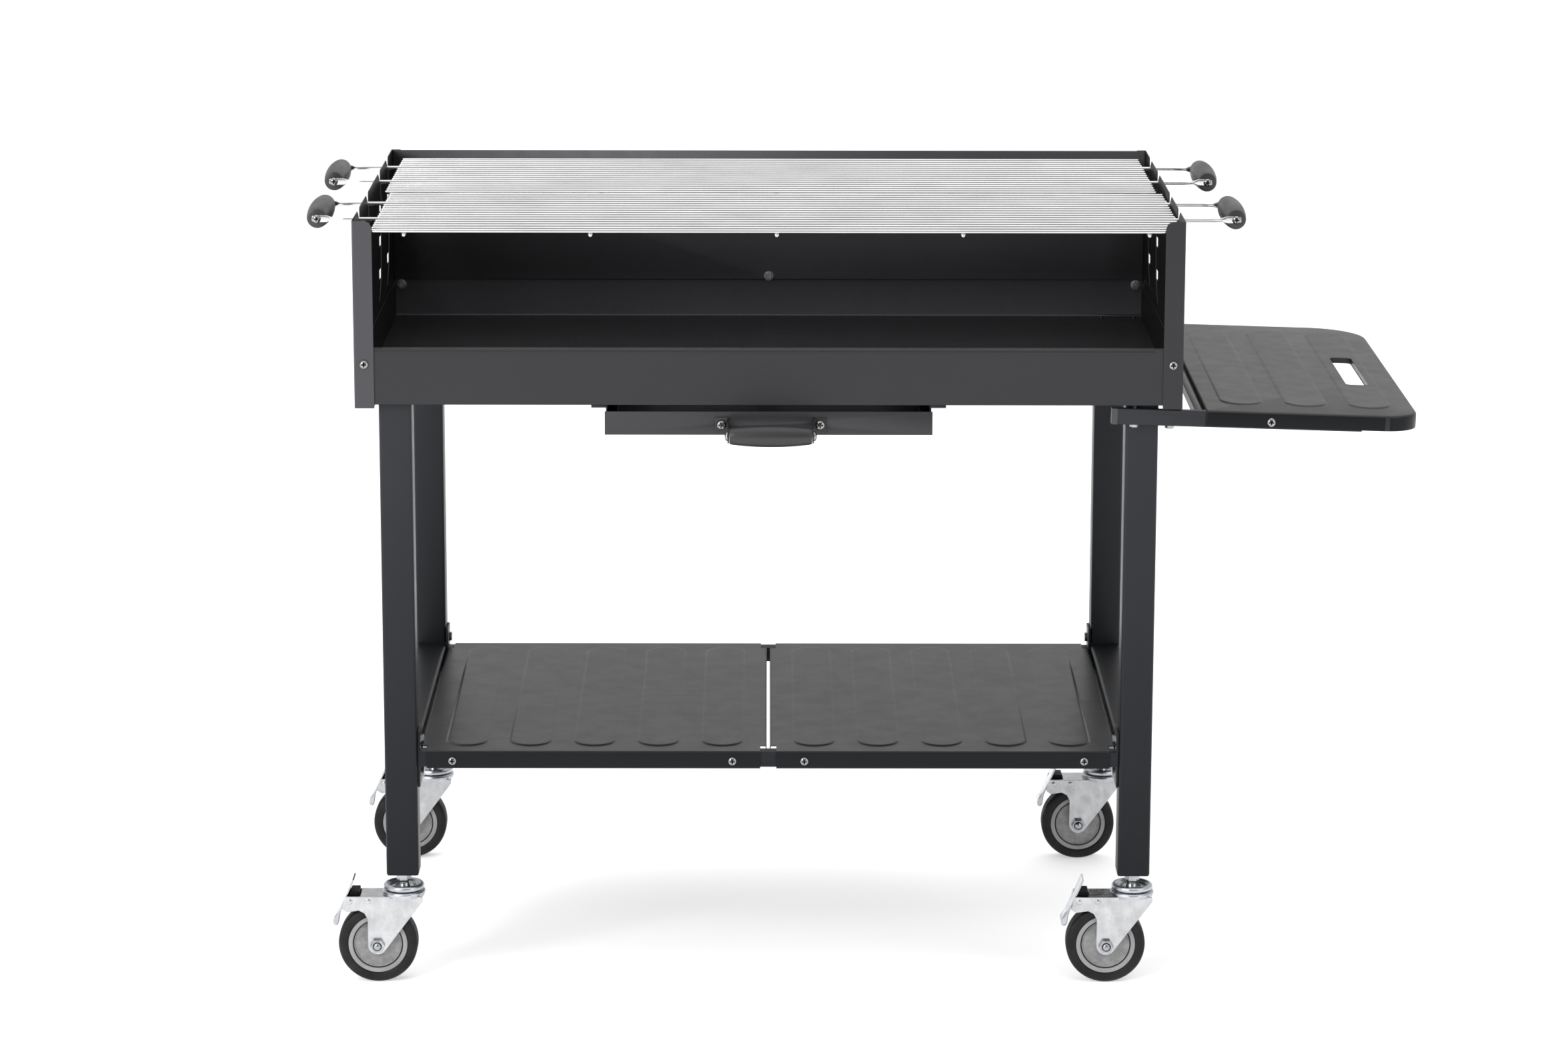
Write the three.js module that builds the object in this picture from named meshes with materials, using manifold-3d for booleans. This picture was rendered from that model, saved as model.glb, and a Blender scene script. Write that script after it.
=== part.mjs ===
// A charcoal grill on a four-wheeled cart: an open firebox with two lift-out grids, a sliding ash
// drawer, a side shelf, a two-part lower shelf and four swivel castors with foot brakes.
// Millimetres, +Z up, +X to the right of someone who stands at the open front and looks along +Y.
// While it is being built, the cart's own zero is on the floor, midway between the legs and level
// with the front of the firebox. The finished group is then centred over its footprint.
import * as THREE from 'three';
import { mergeVertices } from 'three/addons/utils/BufferGeometryUtils.js';
import Module from 'manifold-3d';

const wasm = await Module();
wasm.setup();

// ---------------------------------------------------------------- driving dimensions

const GAP = 0.3; // clearance between pieces that touch
const ARC_STEPS = 1; // half the number of straight steps in a quarter round
const WIDE_ARC_STEPS = 2; // the same, where the radius is large

// Legs, rails and the beams of the lower shelf
const LEG_SIZE = 40.5;
const LEG_WALL = 1.8;
const LEG_CORNER = 3;
const LEG_INSET = 48.5; // from the firebox sides to the leg centres
const LEG_SETBACK = 12; // from the firebox front to the front of the legs
const LEG_REAR_LEAD = 26; // from the rear of the legs to the firebox rear
const LEG_END_PLATE = 4; // closes the foot of the tube and takes the castor's stem
const SIDE_RAIL_TOP = 306;
const SIDE_RAIL_HEIGHT = 40;
const BEAM_HEIGHT = 19;
const BEAM_DEPTH = 20;
const BEAM_TOP = 300.9;
const BEAM_FRONT_SETBACK = 6; // front beam behind the front of the front legs
const BEAM_REAR_LEAD = 3.5; // rear beam ahead of the front of the rear legs
const BEAM_PLATE = 3;
const BEAM_PLATE_DEPTH = 38;
const BEAM_PLATE_HEIGHT = 72;
const BEAM_BOLT_SPREAD = 42;
const BEAM_BOLT_HEAD = 11;

// Lower shelf
const SHELF_SHEET = 1.2;
const SHELF_PANEL_MARGIN = 3.75; // from the legs to the panels
const SHELF_PANEL_SPACING = 4; // slit between the two panels
const SHELF_FLANGE_HEIGHT = 22;
const SHELF_NOTCH_WIDTH = 8; // notches at the corners of a panel
const SHELF_NOTCH_LEAD = 7; // by which the notches reach past the beams
const SHELF_RIBS = 5;
const SHELF_RIB_WIDTH = 55;
const SHELF_RIB_SIDE_MARGIN = 28.4; // from the sides of a panel to the outermost ribs
const SHELF_RIB_MARGIN = 24; // from the front and rear edges to the ribs
const SHELF_RIB_RISE = 1.4;
const SHELF_SCREW_INSET_OUTER = 40;
const SHELF_SCREW_DROP = 12.5;
const SHELF_SCREW_INSET_INNER = 43;

// Firebox
const BOX_WIDTH = 1015;
const BOX_DEPTH = 622;
const BOX_TOP = 973.7;
const BOX_PANEL_DROP = 4.3; // bottom of the side panels below the tray's underside
const SHEET = 1.5;
const FRONT_FLANGE = 24.5;
const REAR_FLANGE = 20;
const FLANGE_CORNER = 8.5;
const BACK_PANEL_DROP = 0.3; // top of the back panel below the top of the side panels
const TRAY_UNDERSIDE = 746;
const TRAY_FRONT_HEIGHT = 69.5;
const TRAY_WALL_HEIGHT = 62;
const TRAY_LIP_DEPTH = 11;
const TRAY_LIP_DROP = 9;
const BACK_PANEL_OVERLAP = 10; // back panel laps over the tray's rear wall
const ASH_SLOT_ROWS = 6;
const ASH_SLOT_COLUMNS = 2;
const ASH_SLOT_LENGTH = 140;
const ASH_SLOT_WIDTH = 12;
const ASH_SLOT_PITCH_X = 165;
const ASH_SLOT_PITCH_Y = 44;
const ASH_SLOT_START = 90; // first row from the firebox front
const FASCIA_SCREW_INSET = 12.5;
const FASCIA_SCREW_HEIGHT = 50.5; // above the tray's underside
const CORNER_BOLT_INSET = 11.5;
const CORNER_BOLT_HEIGHT = 45; // above the tray's underside
const BACK_BOLT_HEIGHT = 57; // above the tray's underside

// Cooking grids
const BAR_COUNT = 17; // in each grid, with its two handle rods
const BAR_DIAMETER = 5;
const BAR_SIDES = 6;
const CROSS_COUNT = 5;
const CROSS_INSET = 41; // from the ends of the bars to the outermost cross rods
const CROSS_DIAMETER = 6;
const CROSS_OVERHANG = 1; // past the outermost bars
const WELD_DEPTH = 0.4; // by which a bar sinks into a cross rod
const HANDLE_ROWS = [5, 12]; // bars that run on through the side panels as handle rods
const GRID_SIDE_PLAY = 11; // each side, between the bars and the side panels
const GRID_SETBACK = 5; // first bar from the firebox front
const GRID_REAR_MARGIN = 12.6; // last bar of the rear grid from the firebox rear
const GRID_SPACING = 22; // last bar of the front grid to the first bar of the rear grid
const GRID_DROP = 12.7; // bar centres below the firebox top
const GRID_FRONT_SHIFT = 9.6; // each grid lies a little off centre in its side play
const GRID_REAR_SHIFT = 2.5;
const GRIP_STANDOFF = 61; // from a side panel to a grip's middle line, with the grid centred
const HANDLE_JOG = 3; // by which a handle rod bends in towards its grip
const HANDLE_JOG_LENGTH = 16;
const PADDLE_LENGTH = 22; // flattened end of a handle rod
const PADDLE_HEIGHT = 8.6;
const PADDLE_CORNER = 1.5;
const PADDLE_HOLE_INSET = 6; // screw from the paddle's tip
const PADDLE_THICKNESS = 2;

// Slots in the side panels, one for each handle rod
const SLOT_LEAD = 3.5; // from the front of the top seat to the rod's middle
const SLOT_TOP_SEAT = 8.5; // length of the top seat, in front of the channel
const SLOT_SEAT = 21; // length of a pocket, in front of the channel
const SLOT_MOUTH_LEAD = 16; // by which the mouth opens out in front of the top seat
const SLOT_MOUTH_DROP = 9; // height of the mouth's sloping front
const SLOT_CHANNEL = 12; // width of the channel that links the seats
const SLOT_SLANT = 0.2; // by which the channel leans forward for each millimetre down
const SLOT_CHAMFER = 3;
const SLOT_POCKETS = 3; // lower seats
const SLOT_FIRST_DROP = 38.5; // from the top seat to the floor of the first pocket
const SLOT_PITCH = 42; // from one pocket floor down to the next
const SLOT_POCKET_HEIGHT = 13;
const SLOT_TAIL_DROP = 27.5;
const SLOT_TAIL_SHIFT = 30;
const SLOT_TAIL_WIDTH = 7;

// Grips
const GRID_GRIP_MIDDLE_DIAMETER = 33;
const GRID_GRIP_END_DIAMETER = 23;
const DRAWER_GRIP_MIDDLE_DIAMETER = 28;
const DRAWER_GRIP_END_DIAMETER = 20;
const GRIP_STEPS = 2; // profile steps from an end to the middle
const GRIP_SIDES = 10;

// Screws and nuts
const SCREW_HEAD_DIAMETER = 11.5;
const SCREW_HEAD_HEIGHT = 3.6;
const SCREW_DIAMETER = 5;
const SCREW_SIDES = 8;
const NUT_DIAMETER = 9;
const NUT_HEIGHT = 4.5;

// Ash drawer
const DRAWER_WIDTH = 402.4;
const DRAWER_FRONT_HEIGHT = 29.2;
const DRAWER_FRONT_DROP = 8; // top of the drawer front below the tray
const DRAWER_FRONT_SETBACK = 2;
const DRAWER_BODY_WIDTH = 376;
const DRAWER_BODY_DEPTH = 470;
const DRAWER_BODY_HEIGHT = 23.5;
const DRAWER_LIP = 9;
const DRAWER_RAIL_LEDGE = 8.5;
const DRAWER_RAIL_FLANGE = 18;
const DRAWER_RAIL_FLANGE_SHEET = 3.8;
const DRAWER_RAIL_SETBACK = 2; // rails start behind the drawer front
const DRAWER_RAIL_LENGTH = 490;
const DRAWER_SIDE_PLAY = 1.2; // each side, between lip and rail
const DRAWER_GRIP_LENGTH = 101;
const DRAWER_gripReach = 52; // drawer front to the grip's middle line
const DRAWER_GRIP_DROP = 4; // grip's middle line below the bracket screws
const DRAWER_GRIP_SHIFT = 2.5;
const BRACKET_SHEET = 1.8;
const BRACKET_FOOT_WIDTH = 18;
const BRACKET_FOOT_HEIGHT = 18;
const BRACKET_SCREW_DROP = 16.2; // bracket screws below the top of the drawer front

// Side shelf
const SIDE_ARM_LAP = 86.5; // by which the arms run in under the firebox
const SIDE_ARM_LENGTH = 308;
const SIDE_ARM_HEIGHT = 19.5;
const SIDE_ARM_DEPTH = 11.4;
const SIDE_ARM_WALL = 1.5;
const SIDE_ARM_DROP = 3.3; // arm tops below the tray at their inner ends
const SIDE_ARM_END_CAP = 6.5;
const SIDE_SHELF_DROOP = 1.75; // degrees by which the shelf hangs at its outer edge
const SIDE_SHELF_OFFSET = 28.5; // from the firebox to the shelf
const SIDE_SHELF_WIDTH = 264;
const SIDE_SHELF_SKIRT = 19;
const SIDE_SHELF_CORNER_FRONT = 43;
const SIDE_SHELF_CORNER_REAR = 70;
const SIDE_SHELF_SCREW_INSET = 81;
const SIDE_SHELF_SCREW_DROP = 12.2;
const CROSSBAR_WIDTH = 9;
const CROSSBAR_HEIGHT = 12;
const CROSSBAR_SPACING = 3.5; // from the shelf's inner edge
const HAND_SLOT_WIDTH = 28;
const HAND_SLOT_LENGTH = 186;
const HAND_SLOT_INSET = 54; // middle of the hand slot from the shelf's outer edge
const HAND_SLOT_SETBACK = 286; // middle of the hand slot from the firebox front
const HAND_SLOT_CORNER = 8;
const SIDE_RIB_STARTS = [22, 101.5, 181]; // from the shelf's inner edge
const SIDE_RIB_WIDTH = 55.5;
const SIDE_RIB_MARGIN = 43;
const SIDE_RIB_RISE = 1.4;
const ARM_BOLTS = [28.5, 72]; // from the inner end of an arm
const ARM_BOLT_OFFSET = 0.6; // behind the middle of an arm
const ARM_BOLT_HEAD = 10;
const ARM_BOLT_PLAY = 0.5; // around a bolt, where it passes through the tray
const ARM_BOLT_END = 3; // stands out of the tray's floor

// Castors
const LEG_BOTTOM = 141.5; // height of the castor
const WHEEL_RADIUS = 50;
const WHEEL_WIDTH = 30;
const TYRE_BORE_RADIUS = 37.5;
const TYRE_SHOULDER = 5;
const HUB_RECESS = 3;
const HUB_RIM_SETBACK = 1.5; // rim face inside the tyre's face
const HUB_BOSS_RADIUS = 12;
const HUB_BOSS_PLAY = 1; // each side, between the boss and the fork
const WHEEL_SEGMENTS = 18;
const CASTOR_TRAIL = 33;
const SHAFT_SIDES = 10; // of a stem, an axle and their holes
const AXLE_RADIUS = 5.5;
const AXLE_NUT_RADIUS = 9.4;
const AXLE_NUT_HEIGHT = 6;
const AXLE_END = 3;
const FORK_WIDTH = 38.6;
const FORK_SHEET = 2.5;
const FORK_TOP = 113.6;
const FORK_FOOT_RADIUS = 12.2;
const FORK_FOOT_START = -42; // degrees, where the sloping front edge meets the foot
const FORK_FRONT = 24.5;
const FORK_SHOULDER = 6;
const FORK_REAR_TOP = -73;
// The rear edge of a fork plate, from the foot up: (from the swivel axis, from the floor)
const FORK_REAR_EDGE = [
  [-45.2, 84],
  [-49, 91.5],
  [-56, 95.2],
  [-71, 93],
  [-77.5, 97.3],
];
const RACE_RADIUS = 26;
const RACE_BULGE = 1.3; // of the lower race's widest part past its radius
const RACE_WIDEST = 115.8; // height of that part
const RACE_SEGMENTS = 12;
const RACE_LOWER_TOP = 119.2;
const RACE_GAP = 0.4;
const RACE_RIM = 4; // radius of the upper race's rounded rim
const RACE_RIM_STEPS = 3;
const RACE_DISC = 3.2;
const RACE_DEPTH = 2.3; // of the lower race, below the fork's top
const STEM_RADIUS = 6;
const STEM_LENGTH = 24; // inside the leg
const STEM_NUT_RADIUS = 9.3;
const STEM_NUT_HEIGHT = 7.5;
const PEDAL_PIVOT = { x: -67.3, z: 107.2 }; // from the swivel axis and the floor
const PEDAL_WIDTH = 31;
// The pedal from its pivot: the upper end of the lever, the cam, and the lever's tip
const PEDAL_OUTLINE = [
  [4.7, 27],
  [-1.6, 12],
  [11.8, 12],
  [11.8, -2],
  [4, -7],
  [-6, -7],
  [-11.5, -13.5],
  [-15.5, -24],
  [-16.5, -30.5],
  [-19, -35],
  [-23.5, -33],
  [-25, -28],
  [-19.5, -20],
  [-15, -12],
  [-8.9, 0],
  [2.6, 27],
];
const PIN_RADIUS = 2.5;
const RIVET_HEAD_RADIUS = 3.8;
const RIVET_HEAD_HEIGHT = 1.4;
const FORK_RIVET = { x: -44, z: 107.5 };
const BRIDGE_START = -54.5; // rear edge of the fork's top plate, from the swivel axis

// ---------------------------------------------------------------- derived places

const legX = BOX_WIDTH / 2 - LEG_INSET;
const frontLegY = LEG_SETBACK + LEG_SIZE / 2;
const rearLegY = BOX_DEPTH - LEG_REAR_LEAD - LEG_SIZE / 2;
const innerLegX = legX - LEG_SIZE / 2;
const legTop = TRAY_UNDERSIDE - GAP;

const panelInnerX = BOX_WIDTH / 2 - SHEET;
const trayHalfWidth = panelInnerX - GAP;
const trayFrontY = SHEET + GAP;
const trayRearY = BOX_DEPTH - SHEET - GAP; // outer face of the tray's rear wall
const backPanelRearY = trayRearY - SHEET - GAP;
const trayFloorTop = TRAY_UNDERSIDE + SHEET;

const barZ = BOX_TOP - GRID_DROP;
const crossZ = barZ - BAR_DIAMETER / 2 - CROSS_DIAMETER / 2 + WELD_DEPTH;
const barHalf = panelInnerX - GRID_SIDE_PLAY;
const gripReach = BOX_WIDTH / 2 + GRIP_STANDOFF;
const gridDepth = (BOX_DEPTH - GRID_SETBACK - GRID_SPACING - GRID_REAR_MARGIN) / 2;
const barPitch = gridDepth / (BAR_COUNT - 1);
const frontGridY = GRID_SETBACK;
const rearGridY = GRID_SETBACK + gridDepth + GRID_SPACING;
const handleRodYs = [frontGridY, rearGridY].flatMap((y) => HANDLE_ROWS.map((row) => y + row * barPitch));
const handlePitch = (HANDLE_ROWS[1] - HANDLE_ROWS[0]) * barPitch;
const paddleSpacing = handlePitch - 2 * HANDLE_JOG;
const gridGripLength = paddleSpacing - PADDLE_THICKNESS - 2 * GAP;

const drawerFrontTop = TRAY_UNDERSIDE - DRAWER_FRONT_DROP;
const drawerBottom = drawerFrontTop - DRAWER_FRONT_HEIGHT;
const drawerLipTop = drawerBottom + DRAWER_BODY_HEIGHT;
const bracketScrewZ = drawerFrontTop - BRACKET_SCREW_DROP;

const armStart = BOX_WIDTH / 2 - SIDE_ARM_LAP;
const sideShelfX = [BOX_WIDTH / 2 + SIDE_SHELF_OFFSET, BOX_WIDTH / 2 + SIDE_SHELF_OFFSET + SIDE_SHELF_WIDTH];
const armTop = TRAY_UNDERSIDE - SIDE_ARM_DROP;
const frontArmY = LEG_SETBACK - GAP - SIDE_ARM_DEPTH; // front face of the front arm
const rearArmY = rearLegY + LEG_SIZE / 2 + GAP; // front face of the rear arm

// ---------------------------------------------------------------- materials

function finish(color, roughness, metalness) {
  return new THREE.MeshStandardMaterial({ color, roughness, metalness });
}

const material = {
  powderCoat: finish(0x2f3033, 0.55, 0.2),
  shelfCoat: finish(0x3a3b3e, 0.5, 0.2),
  firebox: finish(0x2a2a2d, 0.5, 0.2),
  gridSteel: finish(0xc9cacc, 0.25, 1),
  grip: finish(0x2c2d30, 0.6, 0),
  zinc: finish(0xc4c8cc, 0.3, 1),
  hub: finish(0x8f9193, 0.5, 0),
  rubber: finish(0x232325, 0.8, 0),
  screw: finish(0xa8aaad, 0.3, 1),
  brake: finish(0x9a9ea3, 0.35, 1),
};

// ---------------------------------------------------------------- solids

// A closed solid from a three.js geometry. Faces that collapse on a lathe's axis are left out.
function solidOf(geometry) {
  const bare = geometry.clone();
  bare.deleteAttribute('normal');
  bare.deleteAttribute('uv');
  const merged = mergeVertices(bare);
  const index = merged.index.array;
  const corners = [];
  for (let i = 0; i < index.length; i += 3) {
    const [a, b, c] = [index[i], index[i + 1], index[i + 2]];
    if (a !== b && b !== c && c !== a) corners.push(a, b, c);
  }
  const vertProperties = merged.attributes.position.array;
  const triVerts = new Uint32Array(corners);
  return new wasm.Manifold(new wasm.Mesh({ numProp: 3, vertProperties, triVerts }));
}

function join(first, ...others) {
  return others.reduce((whole, other) => whole.add(other), first);
}

function cut(first, ...tools) {
  return tools.reduce((whole, tool) => whole.subtract(tool), first);
}

// A unit shape is stretched to its size in one step, so that faces drawn at the same place meet
// exactly.
function slab([x0, x1], [y0, y1], [z0, z1]) {
  const geometry = new THREE.BoxGeometry(1, 1, 1).translate(0.5, 0.5, 0.5);
  const fit = new THREE.Matrix4().makeScale(x1 - x0, y1 - y0, z1 - z0).setPosition(x0, y0, z0);
  return solidOf(geometry.applyMatrix4(fit));
}

// An outline drawn in the plane across an axis, and extruded along that axis from one place to
// another. Across x the outline is (y, z), across y it is (x, z), and across z it is (x, y).
function prism(axis, outline, from, to, curveSegments = ARC_STEPS) {
  const settings = { depth: 1, bevelEnabled: false, curveSegments };
  const geometry = new THREE.ExtrudeGeometry(outline, settings);
  const [x, y, z] = [new THREE.Vector3(1, 0, 0), new THREE.Vector3(0, 1, 0), new THREE.Vector3(0, 0, 1)];
  const depth = to - from;
  const fit = new THREE.Matrix4();
  if (axis === 'x') fit.makeBasis(y, z, x.multiplyScalar(depth)).setPosition(from, 0, 0);
  if (axis === 'y') fit.makeBasis(x, z, y.multiplyScalar(-depth)).setPosition(0, to, 0);
  if (axis === 'z') fit.makeBasis(x, y, z.multiplyScalar(depth)).setPosition(0, 0, from);
  return solidOf(geometry.applyMatrix4(fit));
}

const polygon = (points) => new THREE.Shape(points.map(([u, v]) => new THREE.Vector2(u, v)));

// A rectangle whose corners have their own radii, from the low corner round against the clock.
function roundedRectangle([u0, u1], [v0, v1], [r0, r1, r2, r3]) {
  const shape = new THREE.Shape();
  const quarter = Math.PI / 2;
  shape.moveTo(u0 + r0, v0);
  shape.lineTo(u1 - r1, v0);
  if (r1) shape.absarc(u1 - r1, v0 + r1, r1, -quarter, 0);
  shape.lineTo(u1, v1 - r2);
  if (r2) shape.absarc(u1 - r2, v1 - r2, r2, 0, quarter);
  shape.lineTo(u0 + r3, v1);
  if (r3) shape.absarc(u0 + r3, v1 - r3, r3, quarter, 2 * quarter);
  shape.lineTo(u0, v0 + r0);
  if (r0) shape.absarc(u0 + r0, v0 + r0, r0, 2 * quarter, 3 * quarter);
  return shape;
}

const evenCorners = (radius) => [radius, radius, radius, radius];

// A round bar between two places.
function bar(from, to, radius, sides) {
  const [start, end] = [new THREE.Vector3(...from), new THREE.Vector3(...to)];
  const along = end.clone().sub(start);
  const geometry = new THREE.CylinderGeometry(radius, radius, 1, sides).translate(0, 0.5, 0);
  const stretch = new THREE.Vector3(1, along.length(), 1);
  const turn = new THREE.Quaternion().setFromUnitVectors(new THREE.Vector3(0, 1, 0), along.normalize());
  return solidOf(geometry.applyMatrix4(new THREE.Matrix4().compose(start, turn, stretch)));
}

// A turned body: the profile's points are (radius, distance along the direction from the place).
function turned(profile, place, direction, segments) {
  const points = profile.map(([radius, height]) => new THREE.Vector2(radius, height));
  const geometry = new THREE.LatheGeometry(points, segments);
  const turn = new THREE.Quaternion();
  turn.setFromUnitVectors(new THREE.Vector3(0, 1, 0), new THREE.Vector3(...direction));
  return solidOf(geometry.applyQuaternion(turn).translate(...place));
}

// A domed screw whose head sits on a face at a place and looks along a direction. Its shank reaches
// the other way.
function screw(place, direction, reach, headDiameter = SCREW_HEAD_DIAMETER) {
  const radius = headDiameter / 2;
  const shank = SCREW_DIAMETER / 2;
  const profile = [
    [0, -reach],
    [shank, -reach],
    [shank, 0],
    [radius, 0],
    [radius * 0.78, SCREW_HEAD_HEIGHT * 0.72],
    [0, SCREW_HEAD_HEIGHT],
  ];
  return turned(profile, place, direction, SCREW_SIDES);
}

// A hexagonal nut between two places.
const nut = (from, to, radius = NUT_DIAMETER / 2) => bar(from, to, radius, 6);

function clearanceHole(from, to, radius = SCREW_DIAMETER / 2 + GAP) {
  return bar(from, to, radius, SCREW_SIDES);
}

const shaftHole = (from, to, radius) => bar(from, to, radius, SHAFT_SIDES);

function piece(name, solid, finishOf, parent) {
  const { vertProperties, triVerts } = solid.getMesh();
  const geometry = new THREE.BufferGeometry();
  geometry.setAttribute('position', new THREE.BufferAttribute(vertProperties, 3));
  geometry.setIndex(new THREE.BufferAttribute(triVerts, 1));
  const mesh = new THREE.Mesh(geometry.toNonIndexed(), finishOf);
  mesh.geometry.computeVertexNormals();
  mesh.name = name;
  parent.add(mesh);
}

const sides = [
  ['left', -1],
  ['right', 1],
];

const bothWays = (side, near, far) => (side > 0 ? [near, far] : [-far, -near]);

const cart = new THREE.Group();

// ---------------------------------------------------------------- frame

const beamTube = {
  front: LEG_SETBACK + BEAM_FRONT_SETBACK,
  rear: rearLegY - LEG_SIZE / 2 - BEAM_REAR_LEAD,
};
const beamMiddleZ = BEAM_TOP - BEAM_HEIGHT / 2;
const beamBoltZs = [beamMiddleZ - BEAM_BOLT_SPREAD / 2, beamMiddleZ + BEAM_BOLT_SPREAD / 2];
const beamBoltY = (beamY) => beamY + BEAM_PLATE_DEPTH / 2;

function leg(name, side, y, beamY) {
  const x = side * legX;
  const half = LEG_SIZE / 2;
  const hollow = half - LEG_WALL;
  const square = (reach, corner) =>
    roundedRectangle([x - reach, x + reach], [y - reach, y + reach], evenCorners(corner));
  const outer = square(half, LEG_CORNER);
  const inner = square(hollow, Math.max(LEG_CORNER - LEG_WALL, 0));
  const plateTop = LEG_BOTTOM + LEG_END_PLATE;
  const tube = cut(
    prism('z', outer, LEG_BOTTOM, legTop),
    prism('z', inner, plateTop, legTop + 1),
    shaftHole([x, y, LEG_BOTTOM - 1], [x, y, plateTop + 1], STEM_RADIUS + GAP),
  );
  const holes = beamBoltZs.map((z) => {
    const [near, far] = [side * (innerLegX - 1), side * (innerLegX + LEG_WALL + 1)];
    return clearanceHole([near, beamBoltY(beamY), z], [far, beamBoltY(beamY), z]);
  });
  piece(name, cut(tube, ...holes), material.powderCoat, cart);
}

function sideRail(name, side) {
  const x = side * legX;
  const half = LEG_SIZE / 2;
  const hollow = half - LEG_WALL;
  const [low, high] = [SIDE_RAIL_TOP - SIDE_RAIL_HEIGHT, SIDE_RAIL_TOP];
  const [start, end] = [frontLegY + half + GAP, rearLegY - half - GAP];
  const outer = roundedRectangle([x - half, x + half], [low, high], evenCorners(LEG_CORNER));
  const bore = slab([x - hollow, x + hollow], [start - 1, end + 1], [low + LEG_WALL, high - LEG_WALL]);
  piece(name, cut(prism('y', outer, start, end), bore), material.powderCoat, cart);
}

// A beam of the lower shelf, with its end plates and the bolts that hold them to the legs.
function shelfBeam(name, beamY) {
  const end = innerLegX - GAP;
  const plateFace = end - BEAM_PLATE;
  const [low, high] = [BEAM_TOP - BEAM_HEIGHT, BEAM_TOP];
  const tube = slab([-plateFace - 1, plateFace + 1], [beamY, beamY + BEAM_DEPTH], [low, high]);
  const hollowX = [-plateFace + 1, plateFace - 1];
  const hollowY = [beamY + SHEET, beamY + BEAM_DEPTH - SHEET];
  const hollow = slab(hollowX, hollowY, [low + SHEET, high - SHEET]);
  const drain = slab([-SHEET, SHEET], hollowY, [low - 1, low + SHEET + 1]);
  const parts = [tube];
  for (const [, side] of sides) {
    const plateY = [beamY, beamY + BEAM_PLATE_DEPTH];
    const plateZ = [beamMiddleZ - BEAM_PLATE_HEIGHT / 2, beamMiddleZ + BEAM_PLATE_HEIGHT / 2];
    parts.push(slab(bothWays(side, plateFace, end), plateY, plateZ));
    for (const z of beamBoltZs) {
      const reach = BEAM_PLATE + GAP + LEG_WALL + 1;
      parts.push(screw([side * plateFace, beamBoltY(beamY), z], [-side, 0, 0], reach, BEAM_BOLT_HEAD));
    }
  }
  const frontWall = [beamY - 1, hollowY[0] + 1];
  const rearWall = [hollowY[1] - 1, beamY + BEAM_DEPTH + 1];
  const [start, stop] = beamY === beamTube.front ? frontWall : rearWall;
  const holes = shelfScrewXs.map((x) => clearanceHole([x, start, shelfScrewZ], [x, stop, shelfScrewZ]));
  piece(name, cut(join(...parts), hollow, drain, ...holes), material.powderCoat, cart);
}

// ---------------------------------------------------------------- lower shelf

const shelfTop = BEAM_TOP + GAP + SHELF_SHEET;
const shelfScrewZ = shelfTop - SHELF_SCREW_DROP;
const shelfPanelInner = SHELF_PANEL_SPACING / 2;
const shelfPanelOuter = innerLegX - SHELF_PANEL_MARGIN;
const shelfFrontY = beamTube.front - GAP - SHELF_SHEET;
const shelfRearY = beamTube.rear + BEAM_DEPTH + GAP + SHELF_SHEET;
const shelfScrewInsets = [
  shelfPanelInner + SHELF_SCREW_INSET_INNER,
  shelfPanelOuter - SHELF_SCREW_INSET_OUTER,
];
const shelfScrewXs = sides.flatMap(([, side]) => shelfScrewInsets.map((x) => side * x));

function rib([u0, u1], [v0, v1], base, rise) {
  const radius = (u1 - u0) / 2;
  return prism('z', roundedRectangle([u0, u1], [v0, v1], evenCorners(radius)), base, base + rise);
}

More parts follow.
